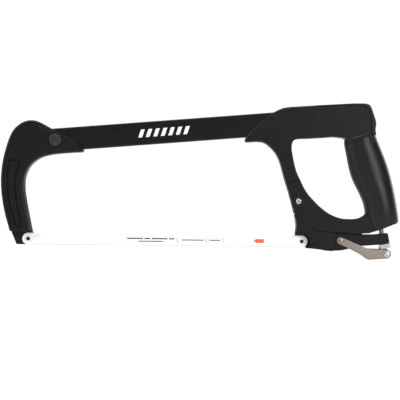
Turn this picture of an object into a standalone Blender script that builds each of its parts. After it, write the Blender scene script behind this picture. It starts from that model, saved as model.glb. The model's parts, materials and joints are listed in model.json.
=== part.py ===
"""Hacksaw with a rectangular steel backbone, two cast ends and a cam-lever blade tensioner.

Frame: the blade runs along X with the nose at -X, Y is the thickness of the saw, Z is up.
The origin lies under the middle of the saw, on the level of its lowest point.
All numbers below are millimetres; MM turns them into Blender's metres.

How it works: the blade hangs on two pins. The rear pin sits on the tension arm, which turns
about the pivot pin inside the guard. An eye bolt screwed into the handle passes down through
the arm and a saddle. The lever's two cams turn on the bolt's eye and push the saddle up, and
with it the arm, which pulls the blade tight.
"""

from math import atan2, cos, pi, radians, sin, sqrt

import bmesh
import bpy
from mathutils import Matrix, Vector

MM = 0.001
FIT = 0.3  # gap left between two pieces that touch on the real saw

# Blade: standard 300 mm hand hacksaw blade
BLADE_HOLES = 300.0
BLADE_WIDTH = 12.8
BLADE_THICK = 0.65
BLADE_HOLE_R = 2.1
PIN_R = 1.5
PIN_LINE = 19.0  # height of both blade holes
REAR_HOLE = (112.0, PIN_LINE)
FRONT_HOLE = (REAR_HOLE[0] - BLADE_HOLES, PIN_LINE)
PIN_PLAY = 0.36  # how far each pin sits outwards of its hole's centre in the tight blade
SEAT_Y = BLADE_THICK / 2 + FIT  # face that the blade lies against
TAB_Y = 6.0  # far face of the tabs that carry the pins

# Backbone tube, 25 x 12 mm, rising to the rear
TUBE_TALL = 25.0
TUBE_WIDE = 12.0
TUBE_WALL = 1.5
TUBE_RISE = radians(4.8)
TUBE_MID = (0.0, 140.7)  # a point on its centre line
TUBE_FRONT = -190.0
TUBE_REAR = 142.0

# Half thickness of the cast pieces
FRONT_Y = 10.0
HANDLE_Y = 9.5
LOWER_Y = 8.7  # guard and base below the step round the pivot
ARM_Y = 9.0
BAR_Y = 6.5
TONGUE_Y = 4.0
STRAP_Y = 8.0

# Pivot of the tension arm
PIVOT = (107.7, 62.9)
PIVOT_R = 3.0
BUSH_R = 4.2
WASHER_R = 7.0
TONGUE_R = 7.5
STEP_R = 22.4  # radius of the step in the guard's faces round the pivot

# Lever, cams and eye bolt; UP is measured from the lever pin along the bolt
LEVER_PIN = (203.8, 6.5)
BOLT_TILT = radians(10.5)
LEVER_TIP = (153.4, 20.5)
LEVER_SWING = 110.0
CAM_LIFT = 1.41
CAM_TOP_R = 5.55
CAM_Y = (4.3, 6.6)
CHEEK_Y = (6.9, 8.9)
CHEEK_R = 5.0
LEVER_PIN_R = 2.5
BOLT_R = 3.0
EYE_R = 5.0
EYE_Y = 4.0
SADDLE_UP = (5.9, 8.6, 11.1)  # rail foot, plate underside, plate top
BOLT_TOP_UP = 41.0
INSERT_UP = (27.6, 43.0)
INSERT_R = 5.5
BOLT_TRAVEL = 1.35  # how far the bolt moves along the arm when the lever opens

# Clamp screws that hold the castings on the tube
FRONT_SCREW_X = -158.5
FRONT_SCREW_R = 7.0
FRONT_SCREW_SLOT = radians(30)
REAR_SCREW_X = 100.0


# ---------------------------------------------------------------- outlines, in (x, z)

def tube_point(x, across=0.0):
    """Point on the tube's centre line above x, or moved square to it."""
    z = TUBE_MID[1] + (x - TUBE_MID[0]) * sin(TUBE_RISE) / cos(TUBE_RISE)
    return (x - across * sin(TUBE_RISE), z + across * cos(TUBE_RISE))


def bolt_point(along, up):
    """Point in the bolt's own tilted axes, measured from the lever pin."""
    return (LEVER_PIN[0] + along * cos(BOLT_TILT) - up * sin(BOLT_TILT),
            LEVER_PIN[1] + along * sin(BOLT_TILT) + up * cos(BOLT_TILT))


def through(points, steps=3):
    """Points on a smooth curve that passes through all the given points."""
    knots = [Vector(p) for p in points]
    knots = [knots[0] * 2 - knots[1]] + knots + [knots[-1] * 2 - knots[-2]]
    curve = []
    for a, b, c, d in zip(knots, knots[1:], knots[2:], knots[3:]):
        ab, bc, cd = sqrt((b - a).length), sqrt((c - b).length), sqrt((d - c).length)
        leave = (c - b) + bc * ((b - a) / ab - (c - a) / (ab + bc))
        reach = (c - b) + bc * ((d - c) / cd - (d - b) / (bc + cd))
        for i in range(steps):
            t = i / steps
            curve.append(b * (2 * t**3 - 3 * t**2 + 1) + leave * (t**3 - 2 * t**2 + t)
                         + c * (3 * t**2 - 2 * t**3) + reach * (t**3 - t**2))
    curve.append(knots[-2])
    return [tuple(p) for p in curve]


def arc(centre, radius, start, end, steps):
    """Points on an arc, angles in degrees, both ends included."""
    angles = [radians(start + (end - start) * i / steps) for i in range(steps + 1)]
    return [(centre[0] + radius * cos(a), centre[1] + radius * sin(a)) for a in angles]


def ring(centre, radius, steps=24):
    """Closed circle."""
    return arc(centre, radius, 0, 360, steps)[:-1]


def offset_line(points, distance):
    """Open line moved to its right by the distance."""
    moved = []
    for i, p in enumerate(points):
        a, b = Vector(points[max(i - 1, 0)]), Vector(points[min(i + 1, len(points) - 1)])
        run = (b - a).normalized()
        moved.append((p[0] + run.y * distance, p[1] - run.x * distance))
    return moved


def stadium(place, half_width, start, end, up):
    """Slot outline in the X-Y plane of the tilted bolt axes, as 3-D points at a given up."""
    rim = [(end + half_width * cos(a), half_width * sin(a))
           for a in [radians(-90 + 22.5 * i) for i in range(9)]]
    rim += [(start - half_width * cos(a), -half_width * sin(a))
            for a in [radians(-90 + 22.5 * i) for i in range(9)]]
    points = []
    for along, y in rim:
        x, z = place(along, up)
        points.append((x, y, z))
    return points


# Line where the handle ends and the tension arm begins, from the guard's front to the rear
GROOVE = through([(103.0, 50.2), (106.5, 46.2), (115.2, 38.4), (128.0, 31.8), (138.0, 30.3),
                  (150.0, 29.6), (168.0, 28.4), (184.4, 28.9)])
GROOVE_GAP = 0.8

GUARD_FRONT = through([(103.0, 50.2), (98.6, 66.4), (92.0, 87.3), (85.8, 108.0), (80.5, 117.1),
                       (70.4, 126.0), (63.0, 127.6), (49.9, 127.0)])
SLEEVE_EDGE = through([(48.1, 131.7), (54.0, 138.8), (64.5, 148.4), (73.0, 155.6),
                       (80.5, 160.4), (89.4, 164.4), (97.0, 165.8)])
OPENING_TOP = through([(99.4, 119.2), (99.5, 124.6), (101.0, 128.6), (104.5, 130.8),
                       (117.1, 131.7), (132.7, 132.8), (145.3, 133.8)])
OPENING_LEFT = through([(167.9, 44.0), (158.8, 44.2), (149.7, 46.0), (140.5, 50.1),
                        (131.4, 56.8), (124.0, 64.0), (117.6, 71.3), (113.0, 78.4),
                        (109.0, 86.5), (105.5, 93.8), (102.7, 102.9), (99.4, 119.2)], 2)
GRIP_BACK = through([(179.6, 170.4), (183.8, 168.8), (186.4, 165.0), (189.4, 157.2),
                     (191.6, 150.0), (191.0, 142.4), (191.7, 136.6), (194.7, 128.8),
                     (203.3, 107.9), (209.3, 88.0), (215.0, 60.4), (217.6, 44.0)], 2)
CORE_BACK = through([(182.6, 164.5), (186.0, 152.0), (186.0, 140.0), (190.0, 126.0),
                     (198.0, 104.0), (204.0, 84.0), (209.0, 60.0), (211.6, 42.5)], 2)
CORE_FRONT = through([(184.0, 48.0), (184.6, 56.0), (178.4, 73.0), (172.6, 85.0),
                      (169.0, 94.0), (164.4, 113.0), (161.4, 127.0), (156.5, 132.6)], 2)
STRAP_TOP = through([(127.0, 167.9), (150.0, 169.3), (166.0, 170.3), (179.6, 170.4)], 2)


def front_outline():
    """Nose casting, from the blade tab up the front, over the tube and back down."""
    outer = through([(-200.8, 12.8), (-207.8, 30.0), (-213.6, 50.0), (-217.2, 75.0),
                     (-216.8, 95.0), (-213.2, 115.0), (-205.5, 136.0), (-198.9, 143.2),
                     (-191.5, 147.3), (-184.3, 148.5), (-177.0, 147.0), (-163.0, 139.6)])
    edge = through([(-163.0, 139.6), (-149.5, 133.0), (-139.0, 127.2), (-127.2, 116.6)])
    under = through([(-130.4, 114.5), (-139.2, 113.7), (-163.9, 111.0), (-176.0, 107.0),
                     (-186.1, 98.5), (-191.4, 86.8), (-192.3, 75.0), (-190.2, 59.3),
                     (-183.7, 27.0)])
    tab = [(-181.6, 24.0), (-181.4, 16.0), (-184.4, 12.8)]
    return outer + edge[1:] + under + tab


def front_panel_outline():
    """Long recess in both faces of the nose casting."""
    left = through([(-204.5, 42.4), (-208.8, 59.1), (-210.6, 76.0), (-210.3, 95.0),
                    (-209.2, 105.0)])
    right = through([(-195.0, 105.0), (-196.4, 97.5), (-199.9, 89.4), (-200.6, 76.0),
                     (-197.9, 55.9), (-195.1, 42.5), (-193.4, 33.0)])
    return left + right + [(-196.5, 30.0), (-201.0, 32.0)]


def handle_outline():
    """Handle casting: socket for the tube, guard, base and the core inside the grip."""
    top = [(127.0, 165.9), (150.0, 167.2), (176.0, 168.2)]
    base = [(211.0, 38.8), (203.0, 35.2), (195.3, 32.4)]
    return (GUARD_FRONT + [(47.7, 128.4)] + SLEEVE_EDGE + [(126.6, 167.9)] + top
            + CORE_BACK + base + GROOVE[:0:-1])


def handle_opening():
    """Finger opening of the casting; the grip's front later covers its rear side."""
    return OPENING_TOP + CORE_FRONT[::-1] + [(180.0, 44.4)] + OPENING_LEFT[:-1]


def lower_outline():
    """Area of the guard and base where the handle's faces are cut back."""
    step = arc(PIVOT, STEP_R, 40, 145, 12)
    return [(190.0, 15.0), (190.0, 47.0), (150.0, 62.0)] + step + [(80.0, 60.0), (80.0, 15.0)]


def grip_sections():
    """Slices across the rear leg, foot to top: front point, back point, half width."""
    return [((186.2, 29.9), (216.6, 40.2), 11.5),
            ((181.0, 37.0), (217.4, 42.6), 13.4),
            ((177.0, 45.6), (217.2, 46.6), 14.6),
            ((180.7, 53.5), (216.2, 54.4), 15.4),
            ((178.8, 61.0), (214.8, 63.0), 15.5),
            ((173.9, 72.7), (211.9, 77.5), 15.2),
            ((168.3, 83.5), (209.3, 88.0), 14.7),
            ((164.6, 92.6), (206.4, 98.5), 14.2),
            ((162.0, 102.5), (203.0, 108.4), 13.7),
            ((160.0, 112.6), (198.8, 118.8), 13.2),
            ((157.8, 123.5), (194.6, 128.8), 12.6),
            ((157.4, 129.4), (191.8, 136.0), 11.9),
            ((159.4, 131.8), (190.2, 139.4), 10.8)]


def strap_outline():
    """Thin rubber strap over the rear corner of the handle's top."""
    inner = [(187.2, 134.0), (186.4, 140.0), (186.4, 152.0), (183.0, 164.8), (176.3, 168.6),
             (150.0, 167.6), (127.0, 166.3)]
    return STRAP_TOP + GRIP_BACK[1:15] + inner


def arm_outline():
    """Full-width front body of the tension arm; its rear end clears the lever's tip."""
    top = offset_line(GROOVE, GROOVE_GAP)
    sweep = sqrt((LEVER_TIP[0] - LEVER_PIN[0])**2 + (LEVER_TIP[1] - LEVER_PIN[1])**2)
    clear = sweep + CHEEK_R + 1.1
    low, high = 177.6, 157.8
    rear = arc(LEVER_PIN, clear, high, low, 6)
    top = [p for p in top if 103.9 < p[0] < rear[0][0] - 1.0]
    belly = through([(138.0, 9.4), (131.0, 10.6), (123.6, 12.0)])
    front = through([(104.5, 26.6), (105.4, 33.0), (105.2, 39.2), (103.4, 48.2)])
    return top + rear + belly + [(122.7, 12.4), (122.7, 26.6)] + front


def bar_outline():
    """Rear bar of the tension arm, between the lever's cheeks."""
    top = through([(150.6, 28.4), (168.1, 26.8), (182.0, 25.6), (194.5, 26.7), (204.3, 29.2)])
    end = [(205.6, 28.6), (207.3, 19.9)]
    under = through([(206.4, 18.5), (195.5, 16.5), (181.9, 15.4), (172.0, 14.2),
                     (163.7, 12.0), (156.0, 10.1), (147.0, 9.3)])
    return [(143.0, 26.0)] + top + end + under + [(143.0, 12.0)]


def tongue_outline():
    """Tongue of the arm that reaches up to the pivot inside the guard."""
    head = arc(PIVOT, TONGUE_R, 0, 172, 12)
    return [(115.2, 34.0)] + head + [(103.4, 50.0), (105.6, 40.0), (106.0, 34.0)]


def cheek_outline():
    """Side of the lever, seen from -Y: round pin end, a bend, and the round thumb end."""
    slope = atan2(LEVER_TIP[1] - 6.0, LEVER_TIP[0] - 184.4) * 180 / pi
    pin_end = arc(LEVER_PIN, CHEEK_R, -92, 92, 10)
    tip_end = arc(LEVER_TIP, CHEEK_R - 0.1, slope - 90, slope + 90, 8)
    heel = through([(180.5, 1.5), (183.6, 0.1), (187.0, 0.2)])
    return pin_end + [(183.6, 11.9)] + tip_end + heel


def cam_radius(angle):
    """Cam radius at an angle in degrees: a steady rise on the working side."""
    contact = 90 + BOLT_TILT * 180 / pi
    start, end = contact - LEVER_SWING - 15, contact + 15
    if angle <= end:
        return CAM_TOP_R - CAM_LIFT * (contact - angle) / LEVER_SWING
    back = (angle - end) / (360 + start - end)
    high, low = cam_radius(end), cam_radius(start)
    return high + (low - high) * (1 - cos(pi * back)) / 2


def cam_outline():
    """Both cams' shape round the lever pin."""
    start = 90 + BOLT_TILT * 180 / pi - LEVER_SWING - 15
    points = []
    for i in range(36):
        angle = start + 10 * i
        radius = cam_radius(angle)
        points.append((LEVER_PIN[0] + radius * cos(radians(angle)),
                       LEVER_PIN[1] + radius * sin(radians(angle))))
    return points


# ---------------------------------------------------------------- modelling helpers

def clear_scene():
    """Start from an empty file."""
    for obj in list(bpy.data.objects):
        bpy.data.objects.remove(obj, do_unlink=True)


def finish(name):
    """Material by finish name: colour, roughness, metallic."""
    looks = {
        "cast_black": ((0.018, 0.018, 0.019), 0.45, 0.0),
        "tube_black": ((0.014, 0.014, 0.015), 0.32, 0.0),
        "rubber_black": ((0.012, 0.012, 0.012), 0.55, 0.0),
        "pressed_steel": ((0.36, 0.32, 0.28), 0.35, 1.0),
        "bright_zinc": ((0.62, 0.62, 0.60), 0.25, 1.0),
        "dark_steel": ((0.05, 0.05, 0.052), 0.40, 1.0),
        "blade_white": ((0.86, 0.86, 0.88), 0.35, 0.0),
    }
    if name in bpy.data.materials:
        return bpy.data.materials[name]
    colour, roughness, metallic = looks[name]
    made = bpy.data.materials.new(name)
    made.use_nodes = True
    shader = made.node_tree.nodes["Principled BSDF"]
    shader.inputs["Base Color"].default_value = (*colour, 1.0)
    shader.inputs["Roughness"].default_value = roughness
    shader.inputs["Metallic"].default_value = metallic
    return made


def slab(outline, y_near, y_far, chamfer=0.0):
    """Solid plate: an (x, z) outline between two depths, its rims chamfered."""
    bm = bmesh.new()
    near = [bm.verts.new((x * MM, y_near * MM, z * MM)) for x, z in outline]
    face = bm.faces.new(near)
    grown = bmesh.ops.extrude_face_region(bm, geom=[face])
    far = [v for v in grown["geom"] if isinstance(v, bmesh.types.BMVert)]
    bmesh.ops.translate(bm, verts=far, vec=(0, (y_far - y_near) * MM, 0))
    bmesh.ops.recalc_face_normals(bm, faces=bm.faces)
    if chamfer:
        rims = [e for e in bm.edges if abs(e.verts[0].co.y - e.verts[1].co.y) < 1e-7]
        bmesh.ops.bevel(bm, geom=rims, offset=chamfer * MM, offset_type="OFFSET", segments=1,
                        profile=0.5, affect="EDGES", clamp_overlap=False, material=-1)
    return bm


def prism(low, high):
    """Solid between two equal closed loops of 3-D points."""
    bm = bmesh.new()
    loops = [[bm.verts.new(Vector(p) * MM) for p in loop] for loop in (low, high)]
    edges = []
    for loop in loops:
        face = bm.faces.new(loop)
        edges += list(face.edges)
    bmesh.ops.bridge_loops(bm, edges=edges)
    bmesh.ops.recalc_face_normals(bm, faces=bm.faces)
    return bm


def loft(sections, count=20, fullness=2.4):
    """Solid through oval slices; each slice lies between its front and its back point."""
    bm = bmesh.new()
    edges = []
    for front, back, half_wide in sections:
        middle = (Vector(front) + Vector(back)) / 2
        reach = (Vector(back) - Vector(front)) / 2
        loop = []
        for i in range(count):
            turn = 2 * pi * i / count
            along = abs(cos(turn))**(2 / fullness) * (1 if cos(turn) > 0 else -1)
            side = abs(sin(turn))**(2 / fullness) * (1 if sin(turn) > 0 else -1)
            x, z = middle + reach * along
            loop.append(bm.verts.new((x * MM, side * half_wide * MM, z * MM)))
        edges.append([bm.edges.new(pair) for pair in zip(loop, loop[1:] + loop[:1])])
    for lower, upper in zip(edges, edges[1:]):
        bmesh.ops.bridge_loops(bm, edges=lower + upper)
    bmesh.ops.holes_fill(bm, edges=edges[0] + edges[-1], sides=count)
    bmesh.ops.recalc_face_normals(bm, faces=bm.faces)
    return bm


def turned(profile, centre, steps=24):
    """Round piece on an axis along Y: profile of (radius, y) from one end to the other."""
    bm = bmesh.new()
    x0, z0 = centre
    verts = [bm.verts.new(((x0 + r) * MM, y * MM, z0 * MM)) for r, y in profile]
    edges = [bm.edges.new(pair) for pair in zip(verts, verts[1:])]
    if profile[0][0] > 0 and profile[-1][0] > 0:
        edges.append(bm.edges.new((verts[-1], verts[0])))
    bmesh.ops.spin(bm, geom=verts + edges, cent=(x0 * MM, 0, z0 * MM), axis=(0, 1, 0),
                   angle=2 * pi, steps=steps, use_merge=True)
    bmesh.ops.remove_doubles(bm, verts=bm.verts, dist=1e-7)
    bmesh.ops.recalc_face_normals(bm, faces=bm.faces)
    return bm


def upright(profile, steps=24):
    """Round piece on the tilted bolt axis: profile of (radius, up)."""
    bm = bmesh.new()
    verts = [bm.verts.new((r * MM, 0, up * MM)) for r, up in profile]
    edges = [bm.edges.new(pair) for pair in zip(verts, verts[1:])]
    if profile[0][0] > 0 and profile[-1][0] > 0:
        edges.append(bm.edges.new((verts[-1], verts[0])))
    bmesh.ops.spin(bm, geom=verts + edges, cent=(0, 0, 0), axis=(0, 0, 1), angle=2 * pi,
                   steps=steps, use_merge=True)
    bmesh.ops.remove_doubles(bm, verts=bm.verts, dist=1e-7)
    bmesh.ops.recalc_face_normals(bm, faces=bm.faces)
    turn = Matrix.Rotation(-BOLT_TILT, 4, "Y")
    shift = Matrix.Translation((LEVER_PIN[0] * MM, 0, LEVER_PIN[1] * MM))
    bmesh.ops.transform(bm, matrix=shift @ turn, verts=bm.verts)
    return bm


def tube_box(x_start, x_end, half_tall, half_wide):
    """Box along the tube's centre line."""
    corners = [(x_start, -half_tall), (x_end, -half_tall), (x_end, half_tall),
               (x_start, half_tall)]
    return slab([tube_point(x, v) for x, v in corners], -half_wide, half_wide)


def box(x, y, z):
    """Plain box from three (low, high) pairs."""
    return slab([(x[0], z[0]), (x[1], z[0]), (x[1], z[1]), (x[0], z[1])], y[0], y[1])


def piece(name, bm, look, axis=None):
    """Object from a bmesh; a moving one hangs on the empty that marks its axis."""
    mesh = bpy.data.meshes.new(name)
    bm.to_mesh(mesh)
    bm.free()
    mesh.shade_smooth()
    mesh.set_sharp_from_angle(angle=radians(30))
    obj = bpy.data.objects.new(name, mesh)
    bpy.context.collection.objects.link(obj)
    mesh.materials.append(finish(look))
    if axis:
        mesh.transform(Matrix.Translation(-axis.location))
        obj.parent = axis
    return obj


def helper(name, bm):
    """Cutter or part of a union, kept out of the model."""
    obj = piece("tool_" + name, bm, "cast_black")
    obj.hide_render = True
    obj.display_type = "WIRE"
    return obj


def combine(target, operation, tools):
    """Boolean modifiers on the target, one for each (name, bmesh)."""
    for name, bm in tools:
        step = target.modifiers.new(name, "BOOLEAN")
        step.operation = operation
        step.solver = "EXACT"
        step.object = helper(target.name + "_" + name, bm)


def axis_empty(name, point):
    """Empty on a joint's axis."""
    empty = bpy.data.objects.new(name, None)
    empty.location = (point[0] * MM, 0, point[1] * MM)
    empty.empty_display_size = 0.01
    bpy.context.collection.objects.link(empty)
    return empty


# ---------------------------------------------------------------- the frame

def make_backbone():
    """Rectangular steel tube with holes for both clamp screws."""
    tube = piece("backbone_tube",
                 tube_box(TUBE_FRONT, TUBE_REAR, TUBE_TALL / 2, TUBE_WIDE / 2), "tube_black")
    bore = tube_box(TUBE_FRONT - 5, TUBE_REAR + 5, TUBE_TALL / 2 - TUBE_WALL,
                    TUBE_WIDE / 2 - TUBE_WALL)
    front_hole = turned([(0, -9), (3.4, -9), (3.4, 9), (0, 9)], tube_point(FRONT_SCREW_X))
    rear_hole = turned([(0, 2), (2.4, 2), (2.4, 9), (0, 9)], tube_point(REAR_SCREW_X), 16)
    combine(tube, "DIFFERENCE", [("bore", bore), ("front_hole", front_hole),
                                 ("rear_hole", rear_hole)])


def make_front_casting():
    """Nose casting: socket on the tube, long arm, and the tab with the front blade pin."""
    casting = piece("front_casting", slab(front_outline(), -FRONT_Y, FRONT_Y, 2.0),
                    "cast_black")
    screw = tube_point(FRONT_SCREW_X)
    socket = tube_box(TUBE_FRONT - FIT, -90, TUBE_TALL / 2 + FIT, TUBE_WIDE / 2 + FIT)
    hole = turned([(0, -12), (7.8, -12), (7.8, -7.5), (3.4, -7.5), (3.4, 7.5), (7.2, 7.5),
                   (7.2, 12), (0, 12)], screw)
    panel = front_panel_outline()
    pin = (FRONT_HOLE[0] - PIN_PLAY, FRONT_HOLE[1])
    combine(casting, "DIFFERENCE", [
        ("socket", socket),
        ("screw_hole", hole),
        ("near_panel", slab(panel, -12, -FRONT_Y + 1.2)),
        ("far_panel", slab(panel, FRONT_Y - 1.2, 12)),
        ("near_seat", box((-215, -170), (-12, SEAT_Y), (5, 27.2))),
        ("far_relief", box((-215, -170), (TAB_Y, 12), (5, 27.2))),
        ("pin_hole", turned([(0, -2), (PIN_R + FIT, -2), (PIN_R + FIT, 12), (0, 12)], pin, 16)),
    ])


def make_front_screw():
    """Slotted clamp screw on the near side and its hexagon nut on the far side."""
    centre = tube_point(FRONT_SCREW_X)
    head = [(0, -9.9), (FRONT_SCREW_R - 0.4, -9.9), (FRONT_SCREW_R, -9.5),
            (FRONT_SCREW_R, -7.8), (3.0, -7.8), (3.0, 9.4), (0, 9.4)]
    screw = piece("front_clamp_screw", turned(head, centre), "dark_steel")
    run = (cos(FRONT_SCREW_SLOT), sin(FRONT_SCREW_SLOT))
    half = 0.65
    corners = [(centre[0] + a * run[0] * 9 - b * run[1] * half,
                centre[1] + a * run[1] * 9 + b * run[0] * half)
               for a, b in ((-1, -1), (1, -1), (1, 1), (-1, 1))]
    combine(screw, "DIFFERENCE", [("slot", slab(corners, -12, -8.9))])
    nut = piece("front_clamp_nut", slab(ring(centre, 6.4, 6), 7.8, 9.9, 0.4), "bright_zinc")
    combine(nut, "DIFFERENCE", [("thread", slab(ring(centre, 3.3, 20), 5, 12))])


def blade_pin(name, hole, play, axis=None):
    """Pin riveted through a tab, standing out on the near side to carry the blade."""
    centre = (hole[0] + play, hole[1])
    profile = [(0, -2.8), (PIN_R - 0.4, -2.8), (PIN_R, -2.4), (PIN_R, TAB_Y + FIT),
               (2.8, TAB_Y + FIT), (2.8, TAB_Y + 0.9), (2.2, TAB_Y + 1.3), (0, TAB_Y + 1.3)]
    return piece(name, turned(profile, centre, 16), "dark_steel", axis)


def make_handle_casting():
    """Handle casting with the tube socket, the slotted clevis and the bolt's bore."""
    handle = piece("handle_casting", slab(handle_outline(), -HANDLE_Y, HANDLE_Y, 1.5),
                   "cast_black")
    screw = tube_point(REAR_SCREW_X)
    wall = PIVOT_R + FIT
    seat = LOWER_Y - 1.3
    slot_r = TONGUE_R + 0.7
    slot = ([(86.0, 20.0), (86.0, PIVOT[1] + slot_r)] + arc(PIVOT, slot_r, 90, 0, 8)
            + [(PIVOT[0] + slot_r, 20.0)])
    combine(handle, "DIFFERENCE", [
        ("opening", slab(handle_opening(), -14, 14)),
        ("near_step", slab(lower_outline(), -14, -LOWER_Y)),
        ("far_step", slab(lower_outline(), LOWER_Y, 14)),
        ("socket", tube_box(20, TUBE_REAR + FIT, TUBE_TALL / 2 + FIT, TUBE_WIDE / 2 + FIT)),
        ("clevis_slot", slab(slot, -TONGUE_Y - 0.4, TONGUE_Y + 0.4)),
        ("pivot_hole", turned([(0, -14), (WASHER_R + 0.4, -14), (WASHER_R + 0.4, -seat),
                               (wall, -seat), (wall, seat), (WASHER_R + 0.4, seat),
                               (WASHER_R + 0.4, 14), (0, 14)], PIVOT)),
        ("bolt_bore", upright([(0, 20), (INSERT_R + FIT, 20),
                               (INSERT_R + FIT, INSERT_UP[1] + FIT), (0, INSERT_UP[1] + FIT)])),
        ("screw_hole", turned([(0, 5), (2.4, 5), (2.4, 7.3), (5.4, 7.3), (5.4, 12), (0, 12)],
                              screw, 20)),
    ])


def make_rear_screw():
    """Screw from the far side that holds the handle on the tube, and its nut inside."""
    centre = tube_point(REAR_SCREW_X)
    profile = [(0, 0.2), (2.0, 0.2), (2.0, 7.6), (5.0, 7.6), (5.0, 8.9), (4.4, 9.4), (0, 9.4)]
    screw = piece("handle_screw", turned(profile, centre, 20), "dark_steel")
    cross = [("slot_a", box((centre[0] - 2.6, centre[0] + 2.6), (8.4, 12),
                            (centre[1] - 0.5, centre[1] + 0.5))),
             ("slot_b", box((centre[0] - 0.5, centre[0] + 0.5), (8.4, 12),
                            (centre[1] - 2.6, centre[1] + 2.6)))]
    combine(screw, "DIFFERENCE", cross)
    nut = piece("handle_screw_nut", box((centre[0] - 4.5, centre[0] + 4.5), (1.2, 4.2),
                                        (centre[1] - 4.5, centre[1] + 4.5)), "bright_zinc")
    combine(nut, "DIFFERENCE", [("thread", slab(ring(centre, 2.3, 16), 0, 6))])


def make_grip():
    """Rubber sleeve round the rear leg, in one piece with the strap over the top corner."""
    grip = piece("rubber_grip", loft(grip_sections()), "rubber_black")
    combine(grip, "UNION", [("strap", slab(strap_outline(), -STRAP_Y, STRAP_Y, 0.7))])
    front = offset_line(CORE_FRONT, -FIT)
    back = offset_line(CORE_BACK, -FIT)
    core = [(158.0, 150.0)] + back + [(214.0, 20.0), (170.0, 20.0)]
    core += [(170.0, 44.75), (179.7, 44.75)] + front + [(156.0, 136.0)]
    combine(grip, "DIFFERENCE", [("core", slab(core, -HANDLE_Y - FIT, HANDLE_Y + FIT))])


def make_pivot():
    """Hollow pivot rivet through the guard, and a washer under each end."""
    end = LOWER_Y + 0.1
    profile = [(0, -6.0), (0.9, -6.6), (0.9, -end), (PIVOT_R - 0.4, -end),
               (PIVOT_R, -end + 0.4), (PIVOT_R, end - 0.4), (PIVOT_R - 0.4, end), (0.9, end),
               (0.9, 6.6), (0, 6.0)]
    piece("pivot_pin", turned(profile, PIVOT), "bright_zinc")
    low, high = LOWER_Y - 1.0, LOWER_Y - 0.2
    for name, y in (("pivot_washer_near", (-high, -low)), ("pivot_washer_far", (low, high))):
        washer = [(PIVOT_R + FIT, y[0]), (WASHER_R, y[0]), (WASHER_R, y[1]),
                  (PIVOT_R + FIT, y[1])]
        piece(name, turned(washer, PIVOT), "dark_steel")


# ---------------------------------------------------------------- the tension arm

def make_arm(axis):
    """Tension arm: front body, pin tab, rear bar and the tongue up to the pivot."""
    arm = piece("tension_arm", slab(arm_outline(), -ARM_Y, ARM_Y, 1.2), "cast_black", axis)
    tab = [(104.6, 28.0), (104.6, 15.0), (106.8, 12.8), (125.0, 12.8), (125.0, 28.0)]
    combine(arm, "UNION", [
        ("tab", slab(tab, SEAT_Y, TAB_Y)),
        ("bar", slab(bar_outline(), -BAR_Y, BAR_Y, 0.8)),
        ("tongue", slab(tongue_outline(), -TONGUE_Y, TONGUE_Y)),
    ])
    bush = slab(ring(PIVOT, BUSH_R + FIT), -9, 9)
    low = stadium(bolt_point, BOLT_R + 0.35, 0, BOLT_TRAVEL, 4)
    high = stadium(bolt_point, BOLT_R + 0.35, 0, BOLT_TRAVEL, 34)
    pin = (REAR_HOLE[0] + PIN_PLAY, REAR_HOLE[1])
    combine(arm, "DIFFERENCE", [
        ("bush_bore", bush),
        ("bolt_slot", prism(low, high)),
        ("pin_hole", turned([(0, -2), (PIN_R + FIT, -2), (PIN_R + FIT, 12), (0, 12)], pin, 16)),
    ])
    bush_wall = [(PIVOT_R + FIT, -TONGUE_Y), (BUSH_R, -TONGUE_Y), (BUSH_R, TONGUE_Y),
                 (PIVOT_R + FIT, TONGUE_Y)]
    piece("pivot_bush", turned(bush_wall, PIVOT), "bright_zinc", axis)
    blade_pin("rear_blade_pin", REAR_HOLE, PIN_PLAY, axis)


def make_saddle(axis):
    """Channel under the bar: its plate passes the bolt, its two rails ride on the cams."""
    foot, under, top = SADDLE_UP
    plate = [bolt_point(a, u) for a, u in ((-5.3, foot), (6.3, foot), (6.3, top), (-5.3, top))]
    saddle = piece("thrust_saddle", slab(plate, -BAR_Y, BAR_Y, 0.4), "bright_zinc", axis)
    channel = [bolt_point(a, u) for a, u in ((-9, foot - 4), (9, foot - 4), (9, under),
                                             (-9, under))]
    low = stadium(bolt_point, BOLT_R + 0.35, 0, BOLT_TRAVEL, 2)
    high = stadium(bolt_point, BOLT_R + 0.35, 0, BOLT_TRAVEL, 16)
    combine(saddle, "DIFFERENCE", [("channel", slab(channel, -4.4, 4.4)),
                                   ("slot", prism(low, high))])


# ---------------------------------------------------------------- bolt and lever

def make_bolt():
    """Eye bolt that hangs from a threaded insert in the handle's base."""
    shank = [(0, 3.2), (BOLT_R, 3.2), (BOLT_R, BOLT_TOP_UP - 0.6),
             (BOLT_R - 0.6, BOLT_TOP_UP), (0, BOLT_TOP_UP)]
    bolt = piece("eye_bolt", slab(ring(LEVER_PIN, EYE_R, 28), -EYE_Y, EYE_Y, 0.5),
                 "bright_zinc")
    combine(bolt, "UNION", [("shank", upright(shank))])
    combine(bolt, "DIFFERENCE", [("eye", slab(ring(LEVER_PIN, LEVER_PIN_R + FIT), -9, 9))])
    low, high = INSERT_UP
    sleeve = [(BOLT_R + FIT, low), (INSERT_R, low), (INSERT_R, high), (BOLT_R + FIT, high)]
    piece("bolt_insert", upright(sleeve), "bright_zinc")


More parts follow.
